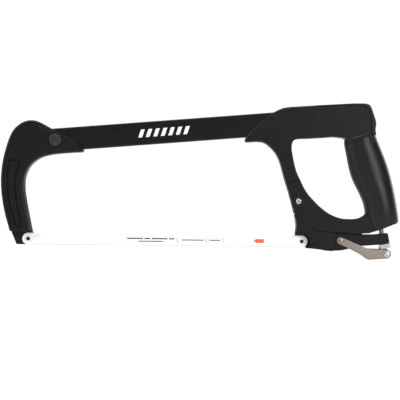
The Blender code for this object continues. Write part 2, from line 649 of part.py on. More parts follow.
def make_lever(axis):
    """Pressed lever: two cheeks and the web that joins them along the heel."""
    near = slab(cheek_outline(), -CHEEK_Y[1], -CHEEK_Y[0])
    lever = piece("tension_lever", near, "pressed_steel", axis)
    web = [(168.6, 7.35), (181.2, 1.2), (184.0, 0.15), (196.0, 0.95), (196.0, 2.7),
           (184.6, 2.0), (182.0, 2.9), (169.4, 9.1)]
    combine(lever, "UNION", [("far_cheek", slab(cheek_outline(), *CHEEK_Y)),
                             ("web", slab(web, -CHEEK_Y[1] + 0.2, CHEEK_Y[1] - 0.2))])
    combine(lever, "DIFFERENCE", [
        ("pin_hole", slab(ring(LEVER_PIN, LEVER_PIN_R + FIT), -12, 12)),
        ("stud_hole", slab(ring(LEVER_TIP, 2.3, 16), -12, 12)),
    ])


def make_lever_pieces(axis):
    """Cams and pin at the bolt's eye, and the two studs in the thumb end."""
    for name, side in (("cam_near", -1), ("cam_far", 1)):
        near, far = sorted((side * CAM_Y[0], side * CAM_Y[1]))
        cam = piece(name, slab(cam_outline(), near, far), "dark_steel", axis)
        combine(cam, "DIFFERENCE", [("bore", slab(ring(LEVER_PIN, LEVER_PIN_R + FIT), -9, 9))])
    head, end = CHEEK_Y[1] + FIT, CHEEK_Y[1] + 1.3
    pin = [(0, -end), (2.9, -end), (3.6, -end + 0.6), (3.6, -head), (LEVER_PIN_R, -head),
           (LEVER_PIN_R, head), (3.6, head), (3.6, end - 0.6), (2.9, end), (0, end)]
    piece("lever_pin", turned(pin, LEVER_PIN), "bright_zinc", axis)
    inner = CHEEK_Y[0] + 0.1
    for name, side in (("lever_stud_near", -1), ("lever_stud_far", 1)):
        stud = [(0, side * inner), (2.0, side * inner), (2.0, side * head), (3.2, side * head),
                (3.2, side * (head + 0.5)), (2.4, side * end), (0, side * end)]
        piece(name, turned(stud, LEVER_TIP, 20), "pressed_steel", axis)


# ---------------------------------------------------------------- the blade

def make_blade(axis):
    """Flat blade with round ends and a hole at each end."""
    half = BLADE_WIDTH / 2
    outline = (arc(REAR_HOLE, half, -90, 90, 12) + arc(FRONT_HOLE, half, 90, 270, 12))
    blade = piece("blade", slab(outline, -BLADE_THICK / 2, BLADE_THICK / 2), "blade_white",
                  axis)
    combine(blade, "DIFFERENCE", [("rear_hole", slab(ring(REAR_HOLE, BLADE_HOLE_R), -3, 3)),
                                  ("front_hole", slab(ring(FRONT_HOLE, BLADE_HOLE_R), -3, 3))])


def main():
    """Build the saw."""
    clear_scene()
    arm_axis = axis_empty("arm_axis", PIVOT)
    lever_axis = axis_empty("lever_axis", LEVER_PIN)
    blade_axis = axis_empty("blade_axis", REAR_HOLE)
    make_backbone()
    make_front_casting()
    make_front_screw()
    blade_pin("front_blade_pin", FRONT_HOLE, -PIN_PLAY)
    make_handle_casting()
    make_rear_screw()
    make_grip()
    make_pivot()
    make_bolt()
    make_arm(arm_axis)
    make_saddle(arm_axis)
    make_lever(lever_axis)
    make_lever_pieces(lever_axis)
    make_blade(blade_axis)
    bpy.context.view_layer.update()


main()
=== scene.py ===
# %% [markdown]
# # A hacksaw, from plain solids to finished pieces
# The frame holds a working saw: plain solids that fit, turn and slide. Here each of them gets
# the surface that a maker would give it. Every piece stays where its solid is, in the same
# coordinates: X from the nose to the handle, Y through the saw, Z up, sizes in millimetres.

# %% Load the working saw
import json
from math import atan2, cos, degrees, pi, radians, sin, sqrt

import bmesh
import bpy
import numpy as np
from mathutils import Matrix, Vector


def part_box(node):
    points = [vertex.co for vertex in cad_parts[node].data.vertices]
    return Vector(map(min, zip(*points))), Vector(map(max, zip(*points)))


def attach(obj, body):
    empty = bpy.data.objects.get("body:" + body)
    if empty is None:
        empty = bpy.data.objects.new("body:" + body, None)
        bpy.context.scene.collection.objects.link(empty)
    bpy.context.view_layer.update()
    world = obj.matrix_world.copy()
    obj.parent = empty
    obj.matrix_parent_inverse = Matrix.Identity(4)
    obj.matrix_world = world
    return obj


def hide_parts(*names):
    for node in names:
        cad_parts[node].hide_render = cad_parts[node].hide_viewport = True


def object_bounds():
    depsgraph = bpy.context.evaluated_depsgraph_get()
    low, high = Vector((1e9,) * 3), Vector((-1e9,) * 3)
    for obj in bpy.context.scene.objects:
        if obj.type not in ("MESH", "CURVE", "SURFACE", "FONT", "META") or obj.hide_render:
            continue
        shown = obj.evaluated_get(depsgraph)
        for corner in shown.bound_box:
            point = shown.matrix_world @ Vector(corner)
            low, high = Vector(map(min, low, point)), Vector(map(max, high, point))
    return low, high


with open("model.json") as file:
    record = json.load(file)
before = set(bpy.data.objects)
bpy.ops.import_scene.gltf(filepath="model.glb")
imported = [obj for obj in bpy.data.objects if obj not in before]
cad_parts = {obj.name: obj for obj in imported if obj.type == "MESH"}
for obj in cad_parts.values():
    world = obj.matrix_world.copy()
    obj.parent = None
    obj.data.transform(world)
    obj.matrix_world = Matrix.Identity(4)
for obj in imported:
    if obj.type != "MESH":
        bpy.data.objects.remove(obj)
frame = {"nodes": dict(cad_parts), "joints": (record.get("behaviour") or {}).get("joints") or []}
cad_low, cad_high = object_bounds()
print("working saw, mm:", [round(1000 * side) for side in cad_high - cad_low])

# %% [markdown]
# ## Places that the whole saw shares
# A new piece has to meet its neighbours, so its place is read from the frame: the joints give
# the two hinge axes, and the boxes of the pins, the blade and the tube give the rest. A box's
# middle is the axis of a round piece.

# %% Read the places
MM = 0.001


def box_mm(node):
    low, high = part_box(node)
    return low / MM, high / MM


def axis_mm(node):
    low, high = box_mm(node)
    return ((low.x + high.x) / 2, (low.z + high.z) / 2)


hinges = {joint["name"]: joint["pos_m"] for joint in frame["joints"] if "pos_m" in joint}
PIVOT = (hinges["arm_tilt"][0] / MM, hinges["arm_tilt"][2] / MM)
LEVER_PIN = (hinges["lever_swing"][0] / MM, hinges["lever_swing"][2] / MM)
LEVER_TIP = axis_mm("lever_stud_near")
NOSE_PIN, ARM_PIN = axis_mm("front_blade_pin"), axis_mm("rear_blade_pin")
NOSE_SCREW, HANDLE_SCREW = axis_mm("front_clamp_screw"), axis_mm("handle_screw")
blade_low, blade_high = box_mm("blade")
BLADE_HALF = (blade_high.z - blade_low.z) / 2
BLADE_LINE = blade_low.z + BLADE_HALF
BLADE_THICK = blade_high.y - blade_low.y
NOSE_HALF = box_mm("front_casting")[1].y
HANDLE_HALF = box_mm("handle_casting")[1].y
ARM_HALF = box_mm("tension_arm")[1].y
CHEEK_OUT = box_mm("tension_lever")[1].y
BOLT_TILT = radians(10.5)
print("pivot", PIVOT, "lever pin", LEVER_PIN, "blade line", round(BLADE_LINE, 2))

# %% [markdown]
# The tube slopes, so its box doesn't give its line. Its two ends do: the corners within a few
# millimetres of each end have their middle on the tube's centre line.

# %% Find the tube's centre line
corners = np.array([v.co for v in frame["nodes"]["backbone_tube"].data.vertices]) / MM
tube_ends = []
for end, side in ((corners[:, 0].min(), 1), (corners[:, 0].max(), -1)):
    near = corners[side * (corners[:, 0] - end) < 3]
    tube_ends.append((near.max(0) + near.min(0)) / 2)
tube_run = tube_ends[1] - tube_ends[0]
TUBE_RISE = atan2(tube_run[2], tube_run[0])
TUBE_LONG = float(np.linalg.norm(tube_run))
TUBE_TALL, TUBE_WIDE, TUBE_WALL = 25.0, 12.0, 1.5
print("tube rises", round(degrees(TUBE_RISE), 2), "degrees over", round(TUBE_LONG, 1), "mm")


def on_tube(along, across=0.0):
    x = tube_ends[0][0] + along * cos(TUBE_RISE) - across * sin(TUBE_RISE)
    z = tube_ends[0][2] + along * sin(TUBE_RISE) + across * cos(TUBE_RISE)
    return (x, z)


def on_bolt(along, up):
    x = LEVER_PIN[0] + along * cos(BOLT_TILT) - up * sin(BOLT_TILT)
    z = LEVER_PIN[1] + along * sin(BOLT_TILT) + up * cos(BOLT_TILT)
    return (x, z)


# %% [markdown]
# ## The camera
# The saw is seen square from its near side, from over a metre away, so its two ends keep
# nearly the same scale as its middle. The whole saw hangs a little nose-up in the view, and
# the camera is rolled by that half degree instead of the saw.

# %% Place the camera
VIEW_WIDE = 438.6
CAMERA_AWAY = 1300.0
CAMERA_ABOVE_BLADE = 44.3
CAMERA_ROLL = radians(-0.607)
SENSOR = 36.0

camera_data = bpy.data.cameras.new("camera")
camera_data.sensor_width = SENSOR
camera_data.lens = SENSOR * CAMERA_AWAY / VIEW_WIDE
camera_data.clip_end = 50
camera = bpy.data.objects.new("camera", camera_data)
bpy.context.collection.objects.link(camera)
camera_height = BLADE_LINE + CAMERA_ABOVE_BLADE
place = Matrix.Translation((0, -CAMERA_AWAY * MM, camera_height * MM))
camera.matrix_world = place @ Matrix.Rotation(CAMERA_ROLL, 4, "Y") @ Matrix.Rotation(pi / 2, 4, "X")
bpy.context.scene.camera = camera
bpy.context.scene.view_settings.view_transform = "Standard"
print("lens", round(camera_data.lens), "mm")

# %% [markdown]
# ## Floor and light
# Black tools are lit from the sides and above: broad soft lights draw a pale line along each
# rounded edge and leave the flat sides dark. The floor is a large pale disc just below the
# saw. The surroundings are bright where the camera sees them and dim as a source of light.

# %% Lay the floor
floor_mesh = bpy.data.meshes.new("floor")
disc = bmesh.new()
bmesh.ops.create_circle(disc, cap_ends=True, segments=96, radius=20.0)
bmesh.ops.translate(disc, verts=disc.verts, vec=(0, 0, cad_low.z - 0.0003))
disc.to_mesh(floor_mesh)
disc.free()
floor = bpy.data.objects.new("floor", floor_mesh)
bpy.context.collection.objects.link(floor)
pale = bpy.data.materials.new("pale_floor")
pale.use_nodes = True
pale_shader = pale.node_tree.nodes["Principled BSDF"]
pale_shader.inputs["Base Color"].default_value = (0.05, 0.05, 0.05, 1)
pale_shader.inputs["Roughness"].default_value = 0.9
pale_shader.inputs["Specular IOR Level"].default_value = 0.1
pale_shader.inputs["Emission Color"].default_value = (1, 1, 1, 1)
pale_shader.inputs["Emission Strength"].default_value = 1.0
floor_mesh.materials.append(pale)

# %% Light the saw
def soft_light(name, place, aim, size, power):
    data = bpy.data.lights.new(name, "AREA")
    data.shape = "RECTANGLE"
    data.size, data.size_y = size
    data.energy = power
    lamp = bpy.data.objects.new(name, data)
    bpy.context.collection.objects.link(lamp)
    look = Vector(aim) - Vector(place)
    turn = look.to_track_quat("-Z", "Y").to_matrix().to_4x4()
    lamp.matrix_world = Matrix.Translation(place) @ turn
    lamp.visible_camera = False
    return lamp


soft_light("light_right", (0.85, -1.40, 0.50), (0.19, 0, 0.10), (0.34, 0.7), 11)
soft_light("light_left", (-1.3, -0.7, 0.8), (-0.10, 0, 0.08), (0.5, 0.9), 14)
soft_light("light_top", (0.05, -0.1, 1.4), (0.0, 0, 0.0), (1.6, 0.5), 18)
soft_light("light_behind", (1.1, 0.8, 0.5), (0.15, 0, 0.1), (0.5, 0.9), 8)

world = bpy.data.worlds.new("studio")
world.use_nodes = True
bpy.context.scene.world = world
air, wires = world.node_tree.nodes, world.node_tree.links
seen, dim = air["Background"], air.new("ShaderNodeBackground")
seen.inputs["Color"].default_value = (1, 1, 1, 1)
seen.inputs["Strength"].default_value = 1.05
dim.inputs["Color"].default_value = (1, 1, 1, 1)
dim.inputs["Strength"].default_value = 0.2
rays, choice = air.new("ShaderNodeLightPath"), air.new("ShaderNodeMixShader")
wires.new(rays.outputs["Is Camera Ray"], choice.inputs["Fac"])
wires.new(dim.outputs["Background"], choice.inputs[1])
wires.new(seen.outputs["Background"], choice.inputs[2])
wires.new(choice.outputs["Shader"], air["World Output"].inputs["Surface"])

# %% [markdown]
# ## Finishes
# Each finish is a small recipe on a Principled shader. The pattern comes from noise on the
# object's own coordinates, which are metres here, so a scale of 900 gives grains of about a
# millimetre. One noise breaks up the roughness, another raises the surface a few hundredths.

# %% A recipe for one finish
def finish(name, colours, roughness, metallic=0.0, specular=0.5, grain=900.0, relief=0.02,
           blotch=45.0, stretch=(1.0, 1.0, 1.0), turn=0.0):
    material = bpy.data.materials.new(name)
    material.use_nodes = True
    nodes, links = material.node_tree.nodes, material.node_tree.links
    shader = nodes["Principled BSDF"]
    shader.inputs["Metallic"].default_value = metallic
    shader.inputs["Specular IOR Level"].default_value = specular
    where, lay = nodes.new("ShaderNodeTexCoord"), nodes.new("ShaderNodeMapping")
    lay.inputs["Scale"].default_value = stretch
    lay.inputs["Rotation"].default_value = (0, turn, 0)
    links.new(where.outputs["Object"], lay.inputs["Vector"])
    patches, grains = nodes.new("ShaderNodeTexNoise"), nodes.new("ShaderNodeTexNoise")
    for noise, scale, detail in ((patches, blotch, 4.0), (grains, grain, 3.0)):
        noise.inputs["Scale"].default_value = scale
        noise.inputs["Detail"].default_value = detail
        links.new(lay.outputs["Vector"], noise.inputs["Vector"])
    shades = nodes.new("ShaderNodeValToRGB")
    shades.color_ramp.elements[0].position, shades.color_ramp.elements[1].position = 0.3, 0.7
    shades.color_ramp.elements[0].color = (*colours[0], 1)
    shades.color_ramp.elements[1].color = (*colours[1], 1)
    mixed = nodes.new("ShaderNodeMath")
    mixed.operation = "MULTIPLY_ADD"
    mixed.inputs[1].default_value = 0.5
    links.new(patches.outputs["Fac"], mixed.inputs[0])
    halved = nodes.new("ShaderNodeMath")
    halved.operation = "MULTIPLY"
    halved.inputs[1].default_value = 0.5
    links.new(grains.outputs["Fac"], halved.inputs[0])
    links.new(halved.outputs["Value"], mixed.inputs[2])
    links.new(mixed.outputs["Value"], shades.inputs["Fac"])
    links.new(shades.outputs["Color"], shader.inputs["Base Color"])
    gloss = nodes.new("ShaderNodeMapRange")
    gloss.inputs["From Min"].default_value, gloss.inputs["From Max"].default_value = 0.3, 0.7
    gloss.inputs["To Min"].default_value, gloss.inputs["To Max"].default_value = roughness
    links.new(mixed.outputs["Value"], gloss.inputs["Value"])
    links.new(gloss.outputs["Result"], shader.inputs["Roughness"])
    bump = nodes.new("ShaderNodeBump")
    bump.inputs["Strength"].default_value = 0.5
    bump.inputs["Distance"].default_value = relief * MM
    links.new(grains.outputs["Fac"], bump.inputs["Height"])
    links.new(bump.outputs["Normal"], shader.inputs["Normal"])
    return material


# %% [markdown]
# Powder coat on the castings has a fine orange peel. The tube's paint is smoother, drawn out
# along the tube. Rubber is softer, with a finer grain. The metals differ
# in colour and in how their marks run: zinc is cloudy, the lever is brushed along its length.

# %% Mix the finishes
COAT = finish("powder_coat", ((0.0035, 0.0035, 0.0038), (0.0060, 0.0060, 0.0063)), (0.36, 0.46),
              specular=0.20, grain=1100, relief=0.035)
PAINT = finish("tube_paint", ((0.0032, 0.0032, 0.0035), (0.0050, 0.0050, 0.0053)), (0.34, 0.44),
               specular=0.19, grain=700, relief=0.02, stretch=(0.12, 1, 1), turn=TUBE_RISE)
RUBBER = finish("grip_rubber", ((0.0035, 0.0035, 0.0036), (0.0060, 0.0060, 0.0061)), (0.35, 0.43),
                specular=0.30, grain=1600, relief=0.03)
ZINC = finish("zinc_plate", ((0.42, 0.42, 0.42), (0.62, 0.62, 0.62)), (0.20, 0.34), metallic=1.0,
              grain=800, relief=0.008, blotch=160)
PRESSED = finish("pressed_steel", ((0.25, 0.21, 0.185), (0.32, 0.275, 0.245)), (0.30, 0.42),
                 metallic=1.0, grain=900, relief=0.01, stretch=(0.08, 1, 1), blotch=120)
DARK = finish("blackened_steel", ((0.035, 0.032, 0.033), (0.065, 0.058, 0.06)), (0.36, 0.50),
              metallic=0.7, grain=1300, relief=0.02, blotch=180)
SOOT = finish("oiled_steel", ((0.005, 0.004, 0.004), (0.009, 0.008, 0.008)), (0.36, 0.48),
              specular=0.22, grain=1300, relief=0.02, blotch=180)
ENAMEL = finish("white_enamel", ((0.90, 0.90, 0.92), (0.93, 0.93, 0.95)), (0.26, 0.34),
                specular=0.45, grain=600, relief=0.004)
BARE = finish("bare_tooth_steel", ((0.40, 0.40, 0.42), (0.60, 0.60, 0.62)), (0.25, 0.40),
              metallic=1.0, grain=2000, relief=0.006, blotch=400)
GREY_INK = finish("grey_ink", ((0.10, 0.10, 0.105), (0.14, 0.14, 0.145)), (0.45, 0.55), grain=2500)
WHITE_INK = finish("white_ink", ((0.78, 0.78, 0.78), (0.86, 0.86, 0.86)), (0.40, 0.50), grain=2500)
ORANGE_INK = finish("orange_ink", ((0.78, 0.10, 0.02), (0.88, 0.14, 0.03)), (0.40, 0.50), grain=2500)

# %% [markdown]
# ## Curves
# A casting's outline is a few given points with a smooth curve through them. A centripetal
# Catmull-Rom curve passes through every point without overshooting, whatever their spacing.

# %% Smooth curves, arcs and offsets
def through(points, pace=1.6):
    knots = np.array(points, float)
    knots = np.vstack([2 * knots[0] - knots[1], knots, 2 * knots[-1] - knots[-2]])
    curve = []
    for a, b, c, d in zip(knots, knots[1:], knots[2:], knots[3:]):
        ab, bc, cd = [sqrt(np.linalg.norm(q - p)) for p, q in ((a, b), (b, c), (c, d))]
        leave = (c - b) + bc * ((b - a) / ab - (c - a) / (ab + bc))
        reach = (c - b) + bc * ((d - c) / cd - (d - b) / (bc + cd))
        steps = max(2, round(np.linalg.norm(c - b) / pace))
        for t in np.arange(steps) / steps:
            curve.append(b * (2 * t**3 - 3 * t**2 + 1) + leave * (t**3 - 2 * t**2 + t)
                         + c * (3 * t**2 - 2 * t**3) + reach * (t**3 - t**2))
    curve.append(knots[-2])
    return [tuple(float(n) for n in point) for point in curve]


def arc(centre, radius, start, end, steps):
    angles = [radians(start + (end - start) * i / steps) for i in range(steps + 1)]
    return [(centre[0] + radius * cos(a), centre[1] + radius * sin(a)) for a in angles]


def ring(centre, radius, steps=48):
    return arc(centre, radius, 0, 360, steps)[:-1]


def beside(points, distance):
    ahead = np.gradient(np.array(points), axis=0)
    ahead /= np.linalg.norm(ahead, axis=1)[:, None]
    right = np.stack([ahead[:, 1], -ahead[:, 0]], 1)
    return [tuple(p) for p in np.array(points) + right * distance]


# %% [markdown]
# ## Cast shapes
# A casting's rim isn't the same all round: broad where a hand or a pipe meets it, tight where
# it fits a neighbour. So each stretch of an outline names a rim, which is a list of steps
# (in from the edge, down from the face). The solid is grown ring by ring with the extrude
# operator, and the steps are blended where one kind of rim runs into the next.

# %% Grow a solid ring by ring
def blended(stretches, half, soften=10):
    outline = [point for points, rim in stretches for point in points]
    rims = np.array([rim for points, rim in stretches for point in points], float)
    for _ in range(soften):
        rims = (np.roll(rims, 1, 0) + 2 * rims + np.roll(rims, -1, 0)) / 4
    near = np.stack([rims[:, :, 0], rims[:, :, 1] - half], 2)
    far = np.stack([rims[:, ::-1, 0], half - rims[:, ::-1, 1]], 2)
    return outline, np.concatenate([far, near], 1)


def grown(outline, rings):
    points = np.array(outline, float)
    ahead = np.roll(points, -1, 0) - points
    ahead /= np.linalg.norm(ahead, axis=1)[:, None]
    side = np.stack([-ahead[:, 1], ahead[:, 0]], 1)
    before = np.roll(side, 1, 0)
    inward = (side + before) / (1 + (side * before).sum(1))[:, None].clip(0.4)
    x, z = points.T
    if (x * np.roll(z, -1) - z * np.roll(x, -1)).sum() < 0:
        inward = -inward

    def spot(i, k):
        x, z = points[i] + inward[i] * rings[i, k, 0]
        return Vector((x, rings[i, k, 1], z)) * MM

    bm = bmesh.new()
    verts = [bm.verts.new(spot(i, 0)) for i in range(len(points))]
    face = bm.faces.new(verts)
    index, edges = {v: i for i, v in enumerate(verts)}, list(face.edges)
    for k in range(1, rings.shape[1]):
        made = bmesh.ops.extrude_edge_only(bm, edges=edges)["geom"]
        fresh = [v for v in made if isinstance(v, bmesh.types.BMVert)]
        edges = [e for e in made if isinstance(e, bmesh.types.BMEdge)]
        index = {v: next(index[e.other_vert(v)] for e in v.link_edges if e.other_vert(v) in index)
                 for v in fresh}
        for v, i in index.items():
            v.co = spot(i, k)
    bm.faces.new(sorted(index, key=index.get))
    bmesh.ops.recalc_face_normals(bm, faces=bm.faces)
    return bm


# %% [markdown]
# Simple plates need only one small rounding, which the bevel operator makes. Round pieces are
# a profile spun about an axis along Y, and their crisp corners get a small bevel too: no real
# edge is perfectly sharp, and the bevel is what catches the light.

# %% Plates and turned pieces
def ease_edges(bm, edges, ease, segments=2):
    if ease:
        bmesh.ops.bevel(bm, geom=edges, offset=ease * MM, offset_type="OFFSET", segments=segments,
                        profile=0.5, affect="EDGES", clamp_overlap=False, material=-1)


def slab(outline, near, far, ease=0.0, segments=2):
    bm = bmesh.new()
    face = bm.faces.new([bm.verts.new((x * MM, near * MM, z * MM)) for x, z in outline])
    lifted = bmesh.ops.extrude_face_region(bm, geom=[face])["geom"]
    bmesh.ops.translate(bm, verts=[v for v in lifted if isinstance(v, bmesh.types.BMVert)],
                        vec=(0, (far - near) * MM, 0))
    bmesh.ops.recalc_face_normals(bm, faces=bm.faces)
    rims = [e for e in bm.edges if abs(e.verts[0].co.y - e.verts[1].co.y) < 1e-7]
    ease_edges(bm, rims, ease, segments)
    return bm


def turned(profile, centre, ease=0.0, steps=48):
    bm = bmesh.new()
    verts = [bm.verts.new(((centre[0] + r) * MM, y * MM, centre[1] * MM)) for r, y in profile]
    edges = [bm.edges.new(pair) for pair in zip(verts, verts[1:])]
    if profile[0][0] > 0 and profile[-1][0] > 0:
        edges.append(bm.edges.new((verts[-1], verts[0])))
    bmesh.ops.spin(bm, geom=verts + edges, cent=(centre[0] * MM, 0, centre[1] * MM),
                   axis=(0, 1, 0), angle=2 * pi, steps=steps, use_merge=True)
    bmesh.ops.remove_doubles(bm, verts=bm.verts, dist=1e-7)
    bmesh.ops.recalc_face_normals(bm, faces=bm.faces)
    corners = [e for e in bm.edges if e.is_manifold and e.calc_face_angle(0) > radians(35)]
    ease_edges(bm, corners, ease)
    return bm


def box(x, y, z, ease=0.0):
    return slab([(x[0], z[0]), (x[1], z[0]), (x[1], z[1]), (x[0], z[1])], y[0], y[1], ease)


# %% [markdown]
# Holes, pockets and slots are cut with Boolean modifiers, which are applied at once, so that
# the finished piece is plain mesh. The result goes back into a bmesh.

# %% Cut and join
def as_object(bm, name):
    mesh = bpy.data.meshes.new(name)
    bm.to_mesh(mesh)
    bm.free()
    made = bpy.data.objects.new(name, mesh)
    bpy.context.collection.objects.link(made)
    return made


def carve(bm, *steps):
    blank = as_object(bm, "blank")
    tools = []
    for operation, tool in steps:
        tools.append(as_object(tool, "tool"))
        step = blank.modifiers.new("step", "BOOLEAN")
        step.operation, step.solver, step.object = operation, "EXACT", tools[-1]
    result = bmesh.new()
    result.from_object(blank, bpy.context.evaluated_depsgraph_get())
    for used in [blank, *tools]:
        bpy.data.objects.remove(used, do_unlink=True)
    return result


CUT, JOIN = "DIFFERENCE", "UNION"

# %% [markdown]
# Last, one function puts a finished piece in the saw: it shades it smooth up to a crease
# angle, gives it its finish, lets it ride on its body and hides the plain solid that it stands
# for. Weighted normals keep broad flat faces flat right up to their rounded rims. It prints
# how far the piece's box is from the solid's, which shows at once if something is off.

# %% Put a piece in the saw
def fit(name, bm, look, body, slot, *nodes, crease=34):
    bmesh.ops.remove_doubles(bm, verts=bm.verts, dist=2e-6)
    piece = as_object(bm, name)
    piece.data.materials.clear()
    piece.data.materials.append(look)
    piece.data.shade_smooth()
    piece.data.set_sharp_from_angle(angle=radians(crease))
    flat = piece.modifiers.new("flat_faces", "WEIGHTED_NORMAL")
    flat.keep_sharp = True
    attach(piece, body)
    if nodes:
        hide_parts(*nodes)
        low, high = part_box(nodes[0])
        co = np.array([v.co for v in piece.data.vertices])
        off = max(np.abs(co.min(0) - low).max(), np.abs(co.max(0) - high).max()) / MM
        print(f"{name}: {len(piece.data.polygons)} faces, box within {off:.2f} mm")
    return piece


# %% [markdown]
# ## Backbone tube
# A drawn steel tube, 25 by 12 mm, with rounded corners. The cross-section is an outline with
# an arc at each corner, swept along the slope by one extrusion, and a smaller one cuts the
# bore. Only the stretch between the castings shows.

# %% Backbone tube
def tube_bar(half_tall, half_wide, radius, start, end):
    bm = bmesh.new()
    rim = []
    for y, v, turn in ((1, 1, 0), (-1, 1, 90), (-1, -1, 180), (1, -1, 270)):
        hub = (y * (half_wide - radius), v * (half_tall - radius))
        rim += arc(hub, radius, turn, turn + 90, 6)
    verts = [bm.verts.new((start * MM, y * MM, v * MM)) for y, v in rim]
    lifted = bmesh.ops.extrude_face_region(bm, geom=[bm.faces.new(verts)])["geom"]
    bmesh.ops.translate(bm, verts=[v for v in lifted if isinstance(v, bmesh.types.BMVert)],
                        vec=((end - start) * MM, 0, 0))
    x, z = on_tube(0)
    slope = Matrix.Translation((x * MM, 0, z * MM)) @ Matrix.Rotation(-TUBE_RISE, 4, "Y")
    bmesh.ops.transform(bm, matrix=slope, verts=bm.verts)
    bmesh.ops.recalc_face_normals(bm, faces=bm.faces)
    return bm


backbone = tube_bar(TUBE_TALL / 2, TUBE_WIDE / 2, 2.0, 0, TUBE_LONG)
bore = tube_bar(TUBE_TALL / 2 - TUBE_WALL, TUBE_WIDE / 2 - TUBE_WALL, 1.0, -5, TUBE_LONG + 5)
backbone = carve(backbone, (CUT, bore),
                 (CUT, turned([(0, -9), (3.4, -9), (3.4, 9), (0, 9)], NOSE_SCREW)),
                 (CUT, turned([(0, 2), (2.4, 2), (2.4, 9), (0, 9)], HANDLE_SCREW)))
fit("backbone", backbone, PAINT, "frame", "tube", "backbone_tube")

# %% [markdown]
# A maker would print a name on the tube. Here it carries a plain row of slanted white bars,
# a film a few hundredths thick on each side.

# %% Bars printed on the tube
def film(outlines, y, thick, place):
    bm = bmesh.new()
    for outline in outlines:
        part = slab([place(*point) for point in outline], y - thick, y)
        mesh = bpy.data.meshes.new("part")
        part.to_mesh(mesh)
        part.free()
        bm.from_mesh(mesh)
        bpy.data.meshes.remove(mesh)
    return bm


BAR_TALL, BAR_WIDE, BAR_LEAN, BAR_PITCH = 8.5, 4.2, 3.6, 8.2
bars = []
for i in range(7):
    left = 122.0 + i * BAR_PITCH
    bars.append([(left, -BAR_TALL / 2), (left + BAR_WIDE, -BAR_TALL / 2),
                 (left + BAR_WIDE + BAR_LEAN, BAR_TALL / 2), (left + BAR_LEAN, BAR_TALL / 2)])
fit("tube_print_near", film(bars, -TUBE_WIDE / 2, 0.05, on_tube), WHITE_INK, "frame", None)
fit("tube_print_far", film(bars, TUBE_WIDE / 2 + 0.05, 0.05, on_tube), WHITE_INK, "frame", None)

# %% [markdown]
# ## Nose casting
# A long curved arm with a socket for the tube. Its outer edge has a broad rounded band and a
# fine groove inside it; the inner edge is a soft rounding for the pipe's sake; over the tube
# the edge is thin and crisp. Those are three rims on one outline.

# %% Rims of the nose casting
BAND = [(0, 3.4), (0.25, 2.2), (0.9, 1.3), (1.9, 0.85), (3.0, 0.7), (3.5, 0.75), (3.8, 1.15),
        (4.15, 0.45), (4.5, 0.08), (4.9, 0), (5.2, 0)]
SOFT = [(0, 2.9), (0.15, 2.0), (0.5, 1.3), (1.0, 0.8), (1.6, 0.42), (2.2, 0.18), (2.8, 0.05),
        (3.2, 0), (3.4, 0), (3.6, 0), (3.8, 0)]
CRISP = [(0, 0.9), (0.04, 0.6), (0.14, 0.34), (0.32, 0.14), (0.55, 0.04), (0.8, 0), (0.9, 0),
         (0.95, 0), (1.0, 0), (1.05, 0), (1.1, 0)]
KEEN = [(0.05 * i, max(0, 0.4 - 0.08 * i)) for i in range(11)]

brow = through([(-200.8, 12.8), (-207.8, 30.0), (-213.6, 50.0), (-217.2, 75.0), (-216.8, 95.0),
                (-213.2, 115.0), (-205.5, 136.0), (-198.9, 143.2), (-191.5, 147.3),
                (-184.3, 148.5), (-177.0, 147.0), (-163.0, 139.6)])
over_tube = through([(-163.0, 139.6), (-149.5, 133.0), (-139.0, 127.2), (-129.6, 118.4)])
tip = arc((-130.1, 116.2), 2.0, 40, -80, 6)
throat = through([(-133.0, 114.1), (-139.2, 113.7), (-163.9, 111.0), (-176.0, 107.0),
                  (-186.1, 98.5), (-191.4, 86.8), (-192.3, 75.0), (-190.2, 59.3),
                  (-183.7, 27.0)])
nose_rims = blended([([p for p in brow if p[1] < 31], KEEN), ([p for p in brow if p[1] >= 31], BAND),
                     (over_tube[1:-1], CRISP), (tip, CRISP), (throat, SOFT),
                     ([(-181.6, 24.0), (-181.4, 16.0), (-184.4, 12.8)], KEEN)], NOSE_HALF)
nose = grown(*nose_rims)

# %% [markdown]
# The long recess saves metal on both sides. Its cutter is grown from the recess's outline: a
# small fillet at the floor, a steep wall, and a lip that flares out, so that the cut leaves a
# rounded edge. The same flared cutter serves the screw's counterbore and the blade's seat.

# %% Pockets of the nose casting
def flared(outline, floor, face, side, lip=0.5, fillet=0.8):
    deep = face - floor
    rows = [(fillet, floor), (fillet * 0.45, floor + fillet * 0.12), (0, floor + fillet * 0.6),
            (-0.05, face - lip), (-lip * 0.3, face - lip * 0.3), (-lip, face + 0.03),
            (-lip, face + 3)]
    assert deep > 0
    rings = np.array([rows] * len(outline), float)
    rings[:, :, 1] *= side
    return grown(outline, rings)


panel = through([(-204.5, 42.4), (-208.8, 59.1), (-210.6, 76.0), (-210.3, 95.0), (-209.2, 104.0)])
panel += through([(-207.6, 105.3), (-202.0, 105.6), (-196.4, 105.2)])
panel += through([(-195.2, 103.6), (-196.6, 97.5), (-199.7, 89.4), (-200.4, 76.0), (-198.0, 55.9),
                  (-195.2, 42.5), (-193.8, 34.4)])
panel += through([(-194.6, 32.0), (-197.2, 30.9), (-200.4, 32.0)])
PANEL_DEEP = 2.4
island = through([(-202.6, 43.0), (-206.9, 59.5), (-208.6, 76.0), (-208.3, 94.5), (-207.6, 102.6)])
island += through([(-206.6, 103.6), (-202.4, 103.8), (-198.3, 103.5)])
island += through([(-197.7, 102.0), (-198.8, 97.5), (-201.6, 89.4), (-202.3, 76.0), (-199.9, 56.2),
                   (-197.1, 43.2), (-195.8, 35.6)])
island += through([(-196.2, 33.5), (-197.7, 32.9), (-199.3, 33.8)])
screw_pocket = ring(NOSE_SCREW, 7.8, 64)
seat = [(-225, 5), (-168, 5), (-168, 27.2), (-225, 27.2)]
